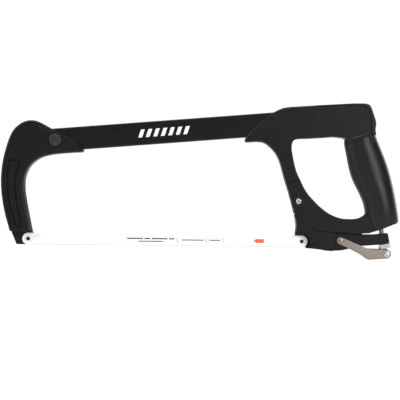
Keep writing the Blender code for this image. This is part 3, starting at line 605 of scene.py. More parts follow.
SEAT_Y = BLADE_THICK / 2 + 0.3
TAB_Y = 6.0
socket = tube_bar(TUBE_TALL / 2 + 0.3, TUBE_WIDE / 2 + 0.3, 2.0, -0.4, 110)
pin_hole = [(0, -2), (1.8, -2), (1.8, 12), (0, 12)]
nose = carve(nose, (CUT, socket),
             (CUT, flared(panel, NOSE_HALF - PANEL_DEEP, NOSE_HALF, -1)),
             (CUT, flared(panel, NOSE_HALF - PANEL_DEEP, NOSE_HALF, 1)),
             (JOIN, slab(island, -NOSE_HALF + 0.9, -NOSE_HALF + 3.6, 0.35)),
             (JOIN, slab(island, NOSE_HALF - 3.6, NOSE_HALF - 0.9, 0.35)),
             (CUT, flared(screw_pocket, 7.5, NOSE_HALF, -1, 0.25, 0.1)),
             (CUT, flared(ring(NOSE_SCREW, 7.2, 64), 7.5, NOSE_HALF, 1, 0.25, 0.1)),
             (CUT, turned([(0, -9), (3.4, -9), (3.4, 9), (0, 9)], NOSE_SCREW)),
             (CUT, flared(seat, -SEAT_Y, NOSE_HALF, -1, 0.9, 0.01)),
             (CUT, box((-225, -168), (TAB_Y, 14), (5, 27.2))),
             (CUT, turned(pin_hole, NOSE_PIN)))
fit("nose_casting", nose, COAT, "frame", "casting", "front_casting")

# %% [markdown]
# ## Screw and nut through the nose
# A slotted cheese-head screw clamps the casting on the tube from the near side; its hexagon
# nut sits in a pocket on the far side. A real nut's corners are turned off by a cone, so the
# hexagon is cut by a wider chamfered disc, kept where both overlap.

# %% Nose screw and nut
SCREW_R, SLOT_TILT = 7.0, radians(30)
head = [(0, -9.9), (SCREW_R, -9.9), (SCREW_R, -7.8), (3.0, -7.8), (3.0, 9.4), (0, 9.4)]
slot_line = [(-9, -0.7), (9, -0.7), (9, 0.7), (-9, 0.7)]
slot_line = [(NOSE_SCREW[0] + a * cos(SLOT_TILT) - b * sin(SLOT_TILT),
              NOSE_SCREW[1] + a * sin(SLOT_TILT) + b * cos(SLOT_TILT)) for a, b in slot_line]
nose_screw = carve(turned(head, NOSE_SCREW, 0.35, 72), (CUT, slab(slot_line, -12, -8.7)))
fit("nose_screw", nose_screw, DARK, "frame", "dark_steel", "front_clamp_screw")


def hex_nut(centre, across, near, far, hole):
    cone = turned([(0, near), (across * 0.5, near), (across * 0.6, near + 0.7),
                   (across * 0.6, far - 0.7), (across * 0.5, far), (0, far)], centre)
    blank = slab(ring(centre, across / sqrt(3), 6), near, far)
    return carve(blank, ("INTERSECT", cone), (CUT, slab(ring(centre, hole), near - 1, far + 1)))


fit("nose_nut", hex_nut(NOSE_SCREW, 6.4 * sqrt(3), 7.8, 9.9, 3.3), ZINC, "frame", "bright_zinc",
    "front_clamp_nut")

# %% [markdown]
# ## Blade pins
# Each pin is riveted through its tab and stands out to the near side, where the blade drops
# over it. The free end is domed; the riveted end is a low round head.

# %% Blade pins
def blade_pin(name, centre, body, node):
    profile = [(0, -2.8), (0.6, -2.75), (1.1, -2.5), (1.4, -2.1), (1.5, -1.6), (1.5, TAB_Y + 0.3),
               (2.8, TAB_Y + 0.3), (2.7, TAB_Y + 0.9), (2.0, TAB_Y + 1.25), (0, TAB_Y + 1.3)]
    fit(name, turned(profile, centre), SOOT, body, "dark_steel", node, crease=50)


blade_pin("nose_pin", NOSE_PIN, "frame", "front_blade_pin")
blade_pin("arm_pin", ARM_PIN, "arm", "rear_blade_pin")

# %% [markdown]
# ## Handle casting
# One die casting: the socket over the tube, the guard in front of the fingers, the base, and
# a core that the rubber grip covers. Along the top the rim is a broad polished rounding; over
# the tube it is a ledge with a crisp inner line; down the guard it is a plain rounding.

# %% Outline and rims of the handle
TOP = [(0, 2.6), (0.12, 1.9), (0.45, 1.3), (0.9, 0.85), (1.4, 0.5), (1.9, 0.26), (2.3, 0.12),
       (2.5, 0.03), (2.6, 0), (2.75, 0), (2.9, 0)]
LEDGE = [(0, 1.5), (0.1, 1.1), (0.35, 0.8), (0.7, 0.6), (1.05, 0.45), (1.35, 0.3), (1.5, 0.12),
         (1.65, 0.02), (1.75, 0), (1.85, 0), (1.95, 0)]
GUARD = [(0, 2.0), (0.08, 1.4), (0.3, 0.9), (0.65, 0.5), (1.05, 0.24), (1.4, 0.08), (1.7, 0),
         (1.8, 0), (1.9, 0), (2.0, 0), (2.1, 0)]

groove = through([(103.0, 50.2), (106.5, 46.2), (115.2, 38.4), (128.0, 31.8), (138.0, 30.3),
                  (150.0, 29.6), (168.0, 28.4), (184.4, 28.9)])
guard = through([(103.0, 50.2), (98.6, 66.4), (92.0, 87.3), (85.8, 108.0), (80.5, 117.1),
                 (70.4, 126.0), (63.0, 127.6), (51.4, 127.0)])
sleeve_tip = arc((50.2, 129.0), 2.0, 265, 140, 6)
ledge = through([(48.7, 131.6), (54.0, 138.8), (64.5, 148.4), (73.0, 155.6), (80.5, 160.4),
                 (89.4, 164.4), (97.0, 165.8)])
top_edge = through([(97.0, 165.8), (112.0, 166.9), (126.6, 167.9)])
under_strap = [(127.0, 165.9), (150.0, 167.2), (176.0, 168.2)]
core_back = through([(182.6, 164.5), (186.0, 152.0), (186.0, 140.0), (190.0, 126.0),
                     (198.0, 104.0), (204.0, 84.0), (209.0, 60.0), (211.6, 42.5)])
core_front = through([(184.0, 48.0), (184.6, 56.0), (178.4, 73.0), (172.6, 85.0), (169.0, 94.0),
                      (164.4, 113.0), (161.4, 127.0), (156.5, 132.6)])
base = [(211.0, 38.8), (203.0, 35.2), (195.3, 32.4)]
handle = grown(*blended([(guard, GUARD), (sleeve_tip, LEDGE), (ledge[1:], LEDGE),
                         (top_edge[1:], TOP), (under_strap, KEEN), (core_back, KEEN),
                         (base, KEEN), (groove[:0:-1], KEEN)], HANDLE_HALF))

# %% [markdown]
# The finger opening is cut with a flared outline, as the pockets were, but right through:
# the flare on both faces leaves the rounded edge that fingers feel. Below the pivot the
# guard's faces are stepped back, and a fine groove follows the step. Each point of the
# opening's outline knows which face it meets.

# %% Openings of the handle
LOWER_HALF = HANDLE_HALF - 0.8
STEP_R = 22.4


def lip(wide, deep):
    turns = [radians(a) for a in (0, 22, 42, 58, 70, 78)]
    return [(-wide * (1 - cos(a)) / (1 - cos(turns[-1])), deep * (1 - sin(a) / sin(turns[-1])))
            for a in turns] + [(-wide * 1.02, -5)]


opening_top = through([(99.4, 119.2), (99.5, 124.6), (101.0, 128.6), (104.5, 130.8),
                       (117.1, 131.7), (132.7, 132.8), (145.3, 133.8)])
opening_left = through([(167.9, 44.0), (158.8, 44.2), (149.7, 46.0), (140.5, 50.1),
                        (131.4, 56.8), (124.0, 64.0), (117.6, 71.3), (113.0, 78.4),
                        (109.0, 86.5), (105.5, 93.8), (102.7, 102.9), (99.4, 119.2)])
corner = through([(184.4, 54.6), (181.6, 50.0), (178.6, 47.2), (174.2, 45.0), (167.9, 44.0)])
leg_front = [p for p in core_front if p[1] > 55.5]
outline, rings = blended([(opening_top, lip(0.9, 1.0)), (leg_front[::-1], lip(0.6, 0.6)),
                          (corner[:-1], lip(0.9, 0.9)),
                          (opening_left[:-1], lip(1.9, 1.7))], HANDLE_HALF)
heights = np.array(outline)[:, 1]
drop = (HANDLE_HALF - LOWER_HALF) * np.clip((86 - heights) / 6, 0, 1)
face_rows = np.abs(rings[:, :, 1]) < HANDLE_HALF + 1
rings[:, :, 1] -= np.sign(rings[:, :, 1]) * drop[:, None] * face_rows
opening = grown(outline, rings)

step_line = arc(PIVOT, STEP_R, 30, 150, 40)
lower = [(193.0, 15.0), (193.0, 46.0), (150.0, 58.0)] + step_line + [(78.0, 60.0), (78.0, 15.0)]
step_groove = arc(PIVOT, STEP_R - 0.45, 28, 152, 37) + arc(PIVOT, STEP_R + 0.85, 152, 28, 37)
seam = [(58.0, 130.2), (101.5, 130.2), (101.5, 130.8), (58.0, 130.8)]
print("finger opening has", len(outline), "points")

RIB_HALF = 2.0
rib_line = [p for p in groove if 119 < p[0] < 181]
rib_slot = beside(rib_line, -2.4) + beside(rib_line, 3.0)[::-1]
LEG_HALF = 6.8
leg = [(150.0, 127.0), (176.0, 127.0), (230.0, 100.0), (230.0, 47.5), (180.0, 47.5),
       (150.0, 70.0)]

# %% [markdown]
# Then come the tube's socket, the slot that the arm's tongue swings in, the pivot's stepped
# bore with its washer seats, the bore for the bolt's insert and the far side's screw hole.

# %% Cut the handle
def upright(profile, steps=48, ease=0.0):
    bm = bmesh.new()
    verts = [bm.verts.new((r * MM, 0, up * MM)) for r, up in profile]
    edges = [bm.edges.new(pair) for pair in zip(verts, verts[1:])]
    if profile[0][0] > 0 and profile[-1][0] > 0:
        edges.append(bm.edges.new((verts[-1], verts[0])))
    bmesh.ops.spin(bm, geom=verts + edges, cent=(0, 0, 0), axis=(0, 0, 1), angle=2 * pi,
                   steps=steps, use_merge=True)
    bmesh.ops.remove_doubles(bm, verts=bm.verts, dist=1e-7)
    bmesh.ops.recalc_face_normals(bm, faces=bm.faces)
    corners = [e for e in bm.edges if e.is_manifold and e.calc_face_angle(0) > radians(35)]
    ease_edges(bm, corners, ease)
    return stand(bm)


def stand(bm):
    turn = Matrix.Rotation(-BOLT_TILT, 4, "Y")
    shift = Matrix.Translation((LEVER_PIN[0] * MM, 0, LEVER_PIN[1] * MM))
    bmesh.ops.transform(bm, matrix=shift @ turn, verts=bm.verts)
    return bm


TONGUE_HALF, TONGUE_R, WASHER_R, PIN_R = 4.0, 7.5, 7.0, 3.0
slot_r = TONGUE_R + 0.7
tongue_slot = ([(86.0, 20.0), (86.0, PIVOT[1] + slot_r)] + arc(PIVOT, slot_r, 90, 0, 16)
               + [(PIVOT[0] + slot_r, 20.0)])
seat_y = LOWER_HALF - 1.3
bore = [(0, -14), (WASHER_R + 0.4, -14), (WASHER_R + 0.4, -seat_y), (PIN_R + 0.3, -seat_y),
        (PIN_R + 0.3, seat_y), (WASHER_R + 0.4, seat_y), (WASHER_R + 0.4, 14), (0, 14)]
INSERT_R, INSERT_TOP, INSERT_FOOT = 5.5, 43.0, 27.6
handle = carve(handle,
               (CUT, slab(lower, -14, -LOWER_HALF)), (CUT, slab(lower, LOWER_HALF, 14)),
               (CUT, slab(step_groove, -14, -LOWER_HALF + 1.3)),
               (CUT, slab(step_groove, LOWER_HALF - 1.3, 14)),
               (CUT, opening),
               (CUT, slab(leg, -14, -LEG_HALF)), (CUT, slab(leg, LEG_HALF, 14)),
               (CUT, slab(rib_slot, -RIB_HALF - 0.6, RIB_HALF + 0.6)),
               (CUT, slab(seam, -14, -HANDLE_HALF + 0.25)),
               (CUT, slab(seam, HANDLE_HALF - 0.25, 14)),
               (CUT, tube_bar(TUBE_TALL / 2 + 0.3, TUBE_WIDE / 2 + 0.3, 2.0, 205, TUBE_LONG + 0.3)),
               (CUT, slab(tongue_slot, -TONGUE_HALF - 0.4, TONGUE_HALF + 0.4)),
               (CUT, turned(bore, PIVOT, 0, 72)),
               (CUT, upright([(0, 20), (INSERT_R + 0.3, 20), (INSERT_R + 0.3, INSERT_TOP + 0.3),
                              (0, INSERT_TOP + 0.3)])),
               (CUT, turned([(0, 5), (2.4, 5), (2.4, 7.3), (5.4, 7.3), (5.4, 9.2), (5.8, 9.7),
                             (5.8, 12), (0, 12)], HANDLE_SCREW)))
fit("handle_frame", handle, COAT, "frame", "casting", "handle_casting")

# %% [markdown]
# ## Handle screw and nut
# The handle is held on the tube by a pan-head screw from the far side, with a cross recess,
# and a square nut inside the tube that can't turn there.

# %% Handle screw and nut
pan = [(0, 0.2), (2.0, 0.2), (2.0, 7.6), (5.0, 7.6), (5.0, 8.4), (4.7, 8.9), (3.9, 9.25),
       (2.4, 9.4), (0, 9.4)]
x, z = HANDLE_SCREW
cross = [(CUT, box((x - a, x + a), (8.2, 12), (z - b, z + b))) for a, b in ((2.6, 0.5), (0.5, 2.6))]
fit("handle_fixing_screw", carve(turned(pan, HANDLE_SCREW), *cross), DARK, "frame", "dark_steel",
    "handle_screw")
square = carve(box((x - 4.5, x + 4.5), (1.2, 4.2), (z - 4.5, z + 4.5), 0.3),
               (CUT, slab(ring(HANDLE_SCREW, 2.3), 0, 6)))
fit("handle_fixing_nut", square, ZINC, "frame", "bright_zinc", "handle_screw_nut")

# %% [markdown]
# ## Rubber grip
# A soft sleeve moulded round the rear leg, fuller towards the heel of the hand, in one piece
# with a strap over the top corner. It is lofted: each slice is a superellipse between a front
# and a back point, and the slices between the listed ones come from the same smooth curve
# as the outlines. A shallow channel runs down each flank near the front edge, for the
# fingertips.

# %% Loft the grip
slices = through([(186.2, 29.9, 216.6, 40.2, 11.5), (183.4, 37.0, 217.4, 42.6, 13.4),
                  (181.2, 45.6, 217.2, 46.6, 14.6), (180.4, 53.5, 216.2, 54.4, 15.4),
                  (178.8, 61.0, 214.8, 63.0, 15.5), (173.9, 72.7, 211.9, 77.5, 15.2),
                  (168.3, 83.5, 209.3, 88.0, 14.7), (164.6, 92.6, 206.4, 98.5, 14.2),
                  (162.0, 102.5, 203.0, 108.4, 13.7), (160.0, 112.6, 198.8, 118.8, 13.2),
                  (157.8, 123.5, 194.6, 128.8, 12.6), (157.4, 129.4, 191.8, 136.0, 11.9),
                  (159.4, 131.8, 190.2, 139.4, 10.6)], 3.0)
FULLNESS = 2.15
CHANNEL_AT, CHANNEL_WIDE, CHANNEL_DEEP = -0.25, 0.16, 0.05


def slice_ring(row, count=64):
    front, back, half_wide = Vector(row[:2]), Vector(row[2:4]), row[4]
    points = []
    for i in range(count):
        turn = 2 * pi * (i + 0.5) / count
        share = abs(cos(turn)) ** (2 / FULLNESS) * (1 if cos(turn) > 0 else -1)
        side = abs(sin(turn)) ** (2 / FULLNESS) * (1 if sin(turn) > 0 else -1)
        side *= 1 - CHANNEL_DEEP * np.exp(-((share - CHANNEL_AT) / CHANNEL_WIDE) ** 2)
        x, z = (front + back) / 2 + (back - front) / 2 * share
        points.append((x * MM, side * half_wide * MM, z * MM))
    return points


def loft(rows):
    bm = bmesh.new()
    loops = []
    for row in rows:
        verts = [bm.verts.new(point) for point in slice_ring(row)]
        loops.append([bm.edges.new(pair) for pair in zip(verts, verts[1:] + verts[:1])])
    for lower, upper in zip(loops, loops[1:]):
        bmesh.ops.bridge_loops(bm, edges=lower + upper)
    ends = [bmesh.ops.holes_fill(bm, edges=loop, sides=0)["faces"] for loop in (loops[0], loops[-1])]
    bmesh.ops.recalc_face_normals(bm, faces=bm.faces)
    rims = {e for faces in ends for face in faces for e in face.edges}
    ease_edges(bm, list(rims), 0.9, 4)
    return bm


STRAP_RIM = [(0, 3.0), (0.15, 2.2), (0.5, 1.5), (1.0, 0.95), (1.5, 0.55), (2.0, 0.26), (2.4, 0.08),
             (2.6, 0), (2.7, 0), (2.8, 0), (2.9, 0)]
STRAP_HALF = 9.0
strap_top = through([(127.0, 167.9), (150.0, 169.3), (166.0, 170.3), (179.6, 170.4)])
strap_back = through([(179.6, 170.4), (183.8, 168.8), (186.4, 165.0), (189.4, 157.2),
                      (191.6, 150.0), (191.0, 142.4), (191.7, 136.6)])
inner = [(187.2, 134.0), (186.4, 140.0), (186.4, 152.0), (183.0, 164.8), (176.3, 168.6),
         (150.0, 167.6), (127.0, 166.3)]
THIN_RIM = [(0.04 * i, max(0, 0.5 - 0.1 * i)) for i in range(11)]
strap_corner = [p for p in strap_back[1:] if p[1] >= 163]
strap_rear = [p for p in strap_back if p[1] < 163]
strap = grown(*blended([(strap_top, THIN_RIM), (strap_corner, THIN_RIM), (strap_rear, STRAP_RIM),
                        (inner, THIN_RIM)], STRAP_HALF, 4))
FIT = 0.3
front = beside([p for p in core_front if p[1] > 55.5], -FIT)
back = beside(core_back, -FIT)
lower_core = [(170.0, 20.0), (167.0, 44.3)] + [(x, z + FIT) for x, z in corner[-2::-1]]
core = [(158.0, 150.0)] + back + [(214.0, 20.0)] + lower_core + front + [(156.0, 136.0)]
waist = [(140.0, 127.0 - FIT), (176.0, 127.0 - FIT), (230.0, 100.0 - FIT), (230.0, 47.5 + FIT),
         (180.0, 47.5 + FIT), (140.0, 70.0)]
wide = carve(slab(core, -HANDLE_HALF - FIT, HANDLE_HALF + FIT),
             (CUT, slab(waist, -14, -LEG_HALF - FIT)), (CUT, slab(waist, LEG_HALF + FIT, 14)))
grip = carve(loft(slices), (JOIN, strap), (CUT, wide))
fit("grip_sleeve", grip, RUBBER, "frame", "rubber", "rubber_grip", crease=40)

# %% [markdown]
# ## Pivot rivet and washers
# A hollow rivet: a steel tube whose ends are rolled over, which leaves a bright ring with a
# dark hole in it. It sits in a blackened washer on each side.

# %% Pivot rivet
end = LOWER_HALF + 0.1
rivet = [(0, -5.4), (0.95, -6.0), (0.95, -end + 0.5), (1.2, -end + 0.12), (1.7, -end),
         (2.3, -end + 0.06), (2.8, -end + 0.35), (PIN_R, -end + 0.8)]
rivet += [(r, -y) for r, y in rivet[::-1]]
fit("pivot_rivet", turned(rivet, PIVOT), ZINC, "frame", "bright_zinc", "pivot_pin", crease=60)
for side, name in ((-1, "near"), (1, "far")):
    inner_y, outer_y = side * (LOWER_HALF - 1.0), side * (LOWER_HALF - 0.2)
    washer = [(PIN_R + 0.3, inner_y), (WASHER_R, inner_y), (WASHER_R, outer_y), (PIN_R + 0.3, outer_y)]
    fit(f"rivet_washer_{name}", turned(washer, PIVOT, 0.2, 64), SOOT, "frame", "dark_steel",
        f"pivot_washer_{name}")

# %% [markdown]
# ## Tension arm
# The casting under the guard: a full-width front body, a tab that carries the blade's rear
# pin, a narrower bar to the rear, and a tongue up to the pivot. The four shapes are joined,
# then bored for the bush, the bolt and the pin.

# %% Tension arm
ARM_RIM = [(0, 1.6), (0.06, 1.1), (0.24, 0.7), (0.5, 0.38), (0.8, 0.16), (1.1, 0.04), (1.3, 0),
           (1.4, 0), (1.5, 0), (1.6, 0), (1.7, 0)]
SHARP_RIM = [(0.03 * i, max(0, 0.3 - 0.06 * i)) for i in range(11)]
sweep = sqrt((LEVER_TIP[0] - LEVER_PIN[0]) ** 2 + (LEVER_TIP[1] - LEVER_PIN[1]) ** 2)
swing_edge = arc(LEVER_PIN, sweep + 5.0 + 1.1, 157.8, 177.6, 12)
arm_top = [p for p in beside(groove, 0.45) if 103.9 < p[0] < swing_edge[0][0] - 1.0]
belly = through([(138.0, 9.4), (131.0, 10.6), (123.6, 11.4), (118.4, 11.9)])
arm_front = through([(104.5, 26.6), (105.4, 33.0), (105.2, 39.2), (103.4, 48.2)])
body = grown(*blended([(arm_top, SHARP_RIM), (swing_edge[1:], SHARP_RIM), (belly, ARM_RIM),
                       (arc(ARM_PIN, 8.4, -58, 65, 20), SHARP_RIM), (arm_front, SHARP_RIM)],
                      ARM_HALF, 2))
BAR_HALF = 6.5
bar_top = through([(150.6, 29.0), (168.1, 27.9), (180.0, 27.5), (192.0, 27.7), (204.3, 29.2)])
bar_under = through([(206.4, 18.5), (195.5, 16.5), (181.9, 15.4), (172.0, 14.2), (163.7, 12.0),
                     (156.0, 10.1), (147.0, 9.3)])
bar = slab([(143.0, 26.0)] + bar_top + [(205.6, 28.6), (207.3, 19.9)] + bar_under
           + [(143.0, 12.0)], -BAR_HALF, BAR_HALF, 0.8, 3)
tongue = ([(115.2, 34.0)] + arc(PIVOT, TONGUE_R, 0, 172, 24)
          + [(103.4, 50.0), (105.6, 40.0), (106.0, 34.0)])
tab = [(104.6, 28.0), (104.6, 15.0), (106.8, 12.8), (123.0, 12.8), (123.0, 28.0)]
BOLT_R, BUSH_R, BOLT_TRAVEL = 3.0, 4.2, 1.35


def bolt_slot(low, high):
    half = BOLT_R + 0.35
    rim = [(BOLT_TRAVEL + half * cos(a), half * sin(a)) for a in np.linspace(-pi / 2, pi / 2, 17)]
    rim += [(-half * cos(a), -half * sin(a)) for a in np.linspace(-pi / 2, pi / 2, 17)]
    bm = bmesh.new()
    face = bm.faces.new([bm.verts.new((x * MM, y * MM, low * MM)) for x, y in rim])
    lifted = bmesh.ops.extrude_face_region(bm, geom=[face])["geom"]
    bmesh.ops.translate(bm, verts=[v for v in lifted if isinstance(v, bmesh.types.BMVert)],
                        vec=(0, 0, (high - low) * MM))
    bmesh.ops.recalc_face_normals(bm, faces=bm.faces)
    return stand(bm)


rib_line = [p for p in groove if 121.5 < p[0] < 178.5]
rib = beside(rib_line, -1.2) + beside(rib_line, 3.0)[::-1]
arm = carve(body, (JOIN, slab(tab, SEAT_Y, TAB_Y)), (JOIN, bar),
            (JOIN, slab(rib, -RIB_HALF, RIB_HALF)),
            (JOIN, slab(tongue, -TONGUE_HALF, TONGUE_HALF)),
            (CUT, slab(ring(PIVOT, BUSH_R + FIT), -9, 9)), (CUT, bolt_slot(4, 34)),
            (CUT, turned(pin_hole, ARM_PIN)))
fit("arm_casting", arm, COAT, "arm", "casting", "tension_arm")
bush = [(PIN_R + FIT, -TONGUE_HALF), (BUSH_R, -TONGUE_HALF), (BUSH_R, TONGUE_HALF),
        (PIN_R + FIT, TONGUE_HALF)]
fit("arm_bush", turned(bush, PIVOT, 0.2), ZINC, "arm", "bright_zinc", "pivot_bush")

# %% [markdown]
# ## Bolt, insert and saddle
# The tension bolt is an eye with a threaded shank. Its thread is a real helix: a short zigzag
# profile is spun round the axis while it climbs one pitch for each turn, so the turns join
# up. Two planes then trim the ragged ends, and the holes they leave are filled.

# %% A threaded rod
def threaded(radius, deep, pitch, low, high, steps=32):
    bm = bmesh.new()
    start, end = low - 2 * pitch, high + 2 * pitch
    shape = [(radius - deep, 0), (radius - 0.15 * deep, 0.36), (radius, 0.44), (radius, 0.56),
             (radius - 0.15 * deep, 0.64), (radius - deep, 1.0)]
    verts = [bm.verts.new((r * MM, 0, (start + up * pitch) * MM)) for r, up in shape]
    edges = [bm.edges.new(pair) for pair in zip(verts, verts[1:])]
    turns = round((end - start) / pitch)
    bmesh.ops.spin(bm, geom=verts + edges, cent=(0, 0, 0), axis=(0, 0, 1), angle=2 * pi * turns,
                   dvec=(0, 0, pitch / steps * MM), steps=steps * turns)
    bmesh.ops.remove_doubles(bm, verts=bm.verts, dist=2e-6)
    for level, way in ((low, -1), (high, 1)):
        bmesh.ops.bisect_plane(bm, geom=bm.verts[:] + bm.edges[:] + bm.faces[:], dist=1e-7,
                               plane_co=(0, 0, level * MM), plane_no=(0, 0, way),
                               clear_outer=True)
    bmesh.ops.holes_fill(bm, edges=[e for e in bm.edges if e.is_boundary], sides=0)
    bmesh.ops.recalc_face_normals(bm, faces=bm.faces)
    return stand(bm)


BOLT_TOP, EYE_R, EYE_HALF, LEVER_PIN_R = 41.0, 5.0, 4.0, 2.5
bolt = carve(slab(ring(LEVER_PIN, EYE_R, 64), -EYE_HALF, EYE_HALF, 0.6, 3),
             (JOIN, upright([(0, 3.2), (2.7, 3.2), (2.7, 14.0), (0, 14.0)])),
             (JOIN, threaded(BOLT_R, 0.6, 1.0, 12.0, BOLT_TOP)),
             (CUT, slab(ring(LEVER_PIN, LEVER_PIN_R + FIT), -9, 9)))
fit("tension_bolt", bolt, ZINC, "frame", "bright_zinc", "eye_bolt")
sleeve = [(BOLT_R + FIT, INSERT_FOOT), (INSERT_R, INSERT_FOOT), (INSERT_R, INSERT_TOP),
          (BOLT_R + FIT, INSERT_TOP)]
fit("threaded_insert", upright(sleeve, 64, 0.35), ZINC, "frame", "bright_zinc", "bolt_insert")

# %% [markdown]
# The saddle is a short steel channel. Its plate passes the bolt through a slot and carries
# the arm; its two rails ride on the cams.

# %% Saddle
RAIL_FOOT, PLATE_UNDER, PLATE_TOP = 5.9, 8.6, 11.1
plate = [on_bolt(a, u) for a, u in ((-5.3, RAIL_FOOT), (6.3, RAIL_FOOT), (6.3, PLATE_TOP),
                                    (-5.3, PLATE_TOP))]
channel = [on_bolt(a, u) for a, u in ((-9, RAIL_FOOT - 4), (9, RAIL_FOOT - 4), (9, PLATE_UNDER),
                                      (-9, PLATE_UNDER))]
saddle = slab(plate, -BAR_HALF, BAR_HALF)
ease_edges(saddle, saddle.edges[:], 0.5, 3)
saddle = carve(saddle, (CUT, slab(channel, -4.4, 4.4, 0.5)), (CUT, bolt_slot(2, 16)))
fit("saddle_block", saddle, ZINC, "arm", "bright_zinc", "thrust_saddle")

# %% [markdown]
# ## Cam lever
# The lever is pressed from 2 mm sheet and folded along its heel, so two cheeks straddle the
# arm. It is made as a solid with the fold's round edge along the heel, and then the space
# between the cheeks is cut away, which leaves the sheet.

# %% Lever
CHEEK_R = 5.0
SHEET = [(0, 0.5), (0.04, 0.32), (0.12, 0.18), (0.24, 0.08), (0.38, 0.02), (0.5, 0), (0.6, 0),
         (0.65, 0), (0.7, 0), (0.75, 0), (0.8, 0)]
FOLD = [(0, 2.2), (0.15, 1.5), (0.5, 0.9), (0.95, 0.5), (1.5, 0.2), (2.0, 0.05), (2.3, 0),
        (2.4, 0), (2.5, 0), (2.6, 0), (2.7, 0)]
slope = degrees(atan2(LEVER_TIP[1] - 6.0, LEVER_TIP[0] - 184.4))
pin_end = arc(LEVER_PIN, CHEEK_R, -92, 92, 24)
tip_end = arc(LEVER_TIP, 4.0, slope - 90, slope + 90, 24)
bend = through([(186.6, 11.8), (184.4, 11.9), (182.4, 12.6)], 1.0)
heel = through([(166.0, 10.9), (178.0, 4.2), (183.6, 0.3), (187.0, 0.2), (196.0, 0.9)], 1.2)
lever = grown(*blended([(pin_end, SHEET), (bend, SHEET), (tip_end, SHEET), (heel, FOLD)],
                       CHEEK_OUT, 2))
CHEEK_IN = 6.9
hollow = [(140, -5), (169.2, -5), (170.9, 10.4), (182.2, 4.1), (184.8, 2.5), (196.0, 2.8),
          (196.4, -5), (215, -5), (215, 35), (140, 35)]
lever = carve(lever, (CUT, slab(hollow, -CHEEK_IN, CHEEK_IN, 0.7, 3)),
              (CUT, slab(ring(LEVER_PIN, LEVER_PIN_R + FIT), -12, 12)),
              (CUT, slab(ring(LEVER_TIP, 2.3), -12, 12)))
fit("cam_lever", lever, PRESSED, "lever", "lever_steel", "tension_lever")

# %% [markdown]
# The cams are two hardened discs whose radius falls steadily round their working side. The
# lever's rivet has a low domed head with a staked dimple, and so have the studs in its tip.

# %% Cams, rivet and studs
CAM_TOP_R, CAM_LIFT, SWING = 5.55, 1.41, 110.0
contact = 90 + degrees(BOLT_TILT)
cam_start, cam_end = contact - SWING - 15, contact + 15


def cam_radius(angle):
    if angle <= cam_end:
        return CAM_TOP_R - CAM_LIFT * (contact - angle) / SWING
    share = (angle - cam_end) / (360 + cam_start - cam_end)
    high, low = cam_radius(cam_end), cam_radius(cam_start)
    return high + (low - high) * (1 - cos(pi * share)) / 2


cam = [arc(LEVER_PIN, cam_radius(a), a, a, 1)[0] for a in cam_start + 5.0 * np.arange(72)]
for name, near, far in (("near", -6.6, -4.3), ("far", 4.3, 6.6)):
    disc = carve(slab(cam, near, far, 0.3), (CUT, slab(ring(LEVER_PIN, 2.8), -9, 9)))
    fit(f"lever_cam_{name}", disc, DARK, "lever", "dark_steel", f"cam_{name}")


def staked(radius, under, over, dimple):
    return [(0, over - 0.45), (dimple, over - 0.35), (dimple + 0.25, over),
            (radius - 0.9, over - 0.06), (radius - 0.35, over - 0.3), (radius, over - 0.65),
            (radius, under)]


head_y, end_y = CHEEK_OUT + FIT, CHEEK_OUT + 1.3
half_rivet = staked(3.6, head_y, end_y, 1.1) + [(LEVER_PIN_R, head_y)]
rivet = [(r, -y) for r, y in half_rivet] + half_rivet[::-1]
fit("lever_rivet", turned(rivet, LEVER_PIN), ZINC, "lever", "bright_zinc", "lever_pin", crease=50)
for side, name in ((-1, "near"), (1, "far")):
    stud = staked(3.2, head_y, end_y - 0.2, 0.8) + [(2.0, head_y), (2.0, CHEEK_IN + 0.1),
                                                    (0, CHEEK_IN + 0.1)]
    fit(f"lever_tip_stud_{name}", turned([(r, side * y) for r, y in stud], LEVER_TIP), PRESSED,
        "lever", "lever_steel", f"lever_stud_{name}", crease=50)

# %% [markdown]
# ## Blade
# White enamelled spring steel with 24 teeth to the inch. The face is one polygon with round
# ends; below it each tooth is a single triangle, steep towards the nose, because the saw cuts
# on the push. The tips are then set in a gentle wave to both sides, which clears the kerf.

# %% Blade and teeth
PITCH, TOOTH_DEEP, SET, SET_WAVE = 25.4 / 24, 0.75, 0.16, 8 * 25.4 / 24
nose_hole = (blade_low.x + BLADE_HALF, BLADE_LINE)
rear_hole = (blade_high.x - BLADE_HALF, BLADE_LINE)
root = BLADE_LINE - BLADE_HALF + TOOTH_DEEP
teeth_from, teeth_to = nose_hole[0] + 7.0, rear_hole[0] - 7.0
count = int((teeth_to - teeth_from) / PITCH)
ends = (arc(rear_hole, BLADE_HALF, -90, 90, 32), arc(nose_hole, BLADE_HALF, 90, 270, 32))
roots = [(teeth_from + i * PITCH, root) for i in range(count + 1)]
edge_z = BLADE_LINE - BLADE_HALF
outline = ends[0] + ends[1] + [(teeth_from - 0.8, edge_z)] + roots + [(roots[-1][0] + 0.4, edge_z)]
blade = bmesh.new()
face_verts = [blade.verts.new((x * MM, -BLADE_THICK / 2 * MM, z * MM)) for x, z in outline]
blade.faces.new(face_verts)
first = len(ends[0]) + len(ends[1]) + 1
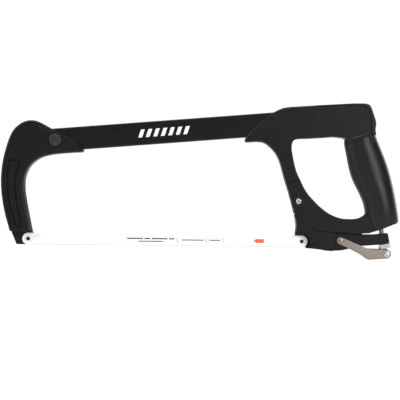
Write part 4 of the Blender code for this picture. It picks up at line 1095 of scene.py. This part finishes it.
for left, right in zip(face_verts[first:], face_verts[first + 1:first + count + 1]):
    tooth = blade.verts.new(((left.co.x / MM + 0.12) * MM, left.co.y, edge_z * MM))
    blade.faces.new((right, left, tooth))
lifted = bmesh.ops.extrude_face_region(blade, geom=blade.faces[:])["geom"]
bmesh.ops.translate(blade, verts=[v for v in lifted if isinstance(v, bmesh.types.BMVert)],
                    vec=(0, BLADE_THICK * MM, 0))
bmesh.ops.recalc_face_normals(blade, faces=blade.faces)
for v in blade.verts:
    if v.co.z < (root - 0.1) * MM and teeth_from < v.co.x / MM < teeth_to:
        v.co.y += SET * sin(2 * pi * v.co.x / MM / SET_WAVE) * MM
blade = carve(blade, (CUT, slab(ring(nose_hole, 2.1), -3, 3)),
              (CUT, slab(ring(rear_hole, 2.1), -3, 3)))
print("teeth:", count)
saw_blade = fit("saw_blade", blade, ENAMEL, "blade", "blade", "blade")

# %% [markdown]
# The enamel stops short of the teeth, so their faces get bare steel. In place of a maker's
# print, the blade carries plain grey rules in columns, and an orange arrow that shows which
# way the teeth point.

# %% Bare teeth and blade print
saw_blade.data.materials.append(BARE)
for polygon in saw_blade.data.polygons:
    polygon.material_index = int(polygon.center.z < root * MM)


def on_blade(x, z):
    return (x, BLADE_LINE + z)


rules = []
for left, right, low, high in ((-79.6, -62.0, 0.7, 2.3), (-60.6, -54.0, 0.7, 2.3),
                               (-52.6, -35.0, 0.7, 2.3), (-33.6, -27.8, 0.7, 2.3),
                               (-67.2, -40.0, -2.1, -0.9), (-19.6, 4.8, -0.3, 0.9),
                               (10.6, 22.4, -0.3, 0.9)):
    rules.append([(left, low), (right, low), (right, high), (left, high)])
for x in (-24.3, 7.6, 25.2):
    rules.append([(x - 0.25, -2.8), (x + 0.25, -2.8), (x + 0.25, 2.8), (x - 0.25, 2.8)])
arrow = [(59.2, 0), (62.4, -2.4), (62.4, -2.1), (70.4, -2.1), (70.4, 2.1), (62.4, 2.1),
         (62.4, 2.4)]
fit("blade_print", film(rules, -BLADE_THICK / 2, 0.04, on_blade), GREY_INK, "blade", None)
fit("blade_arrow", film([arrow], -BLADE_THICK / 2, 0.04, on_blade), ORANGE_INK, "blade", None)
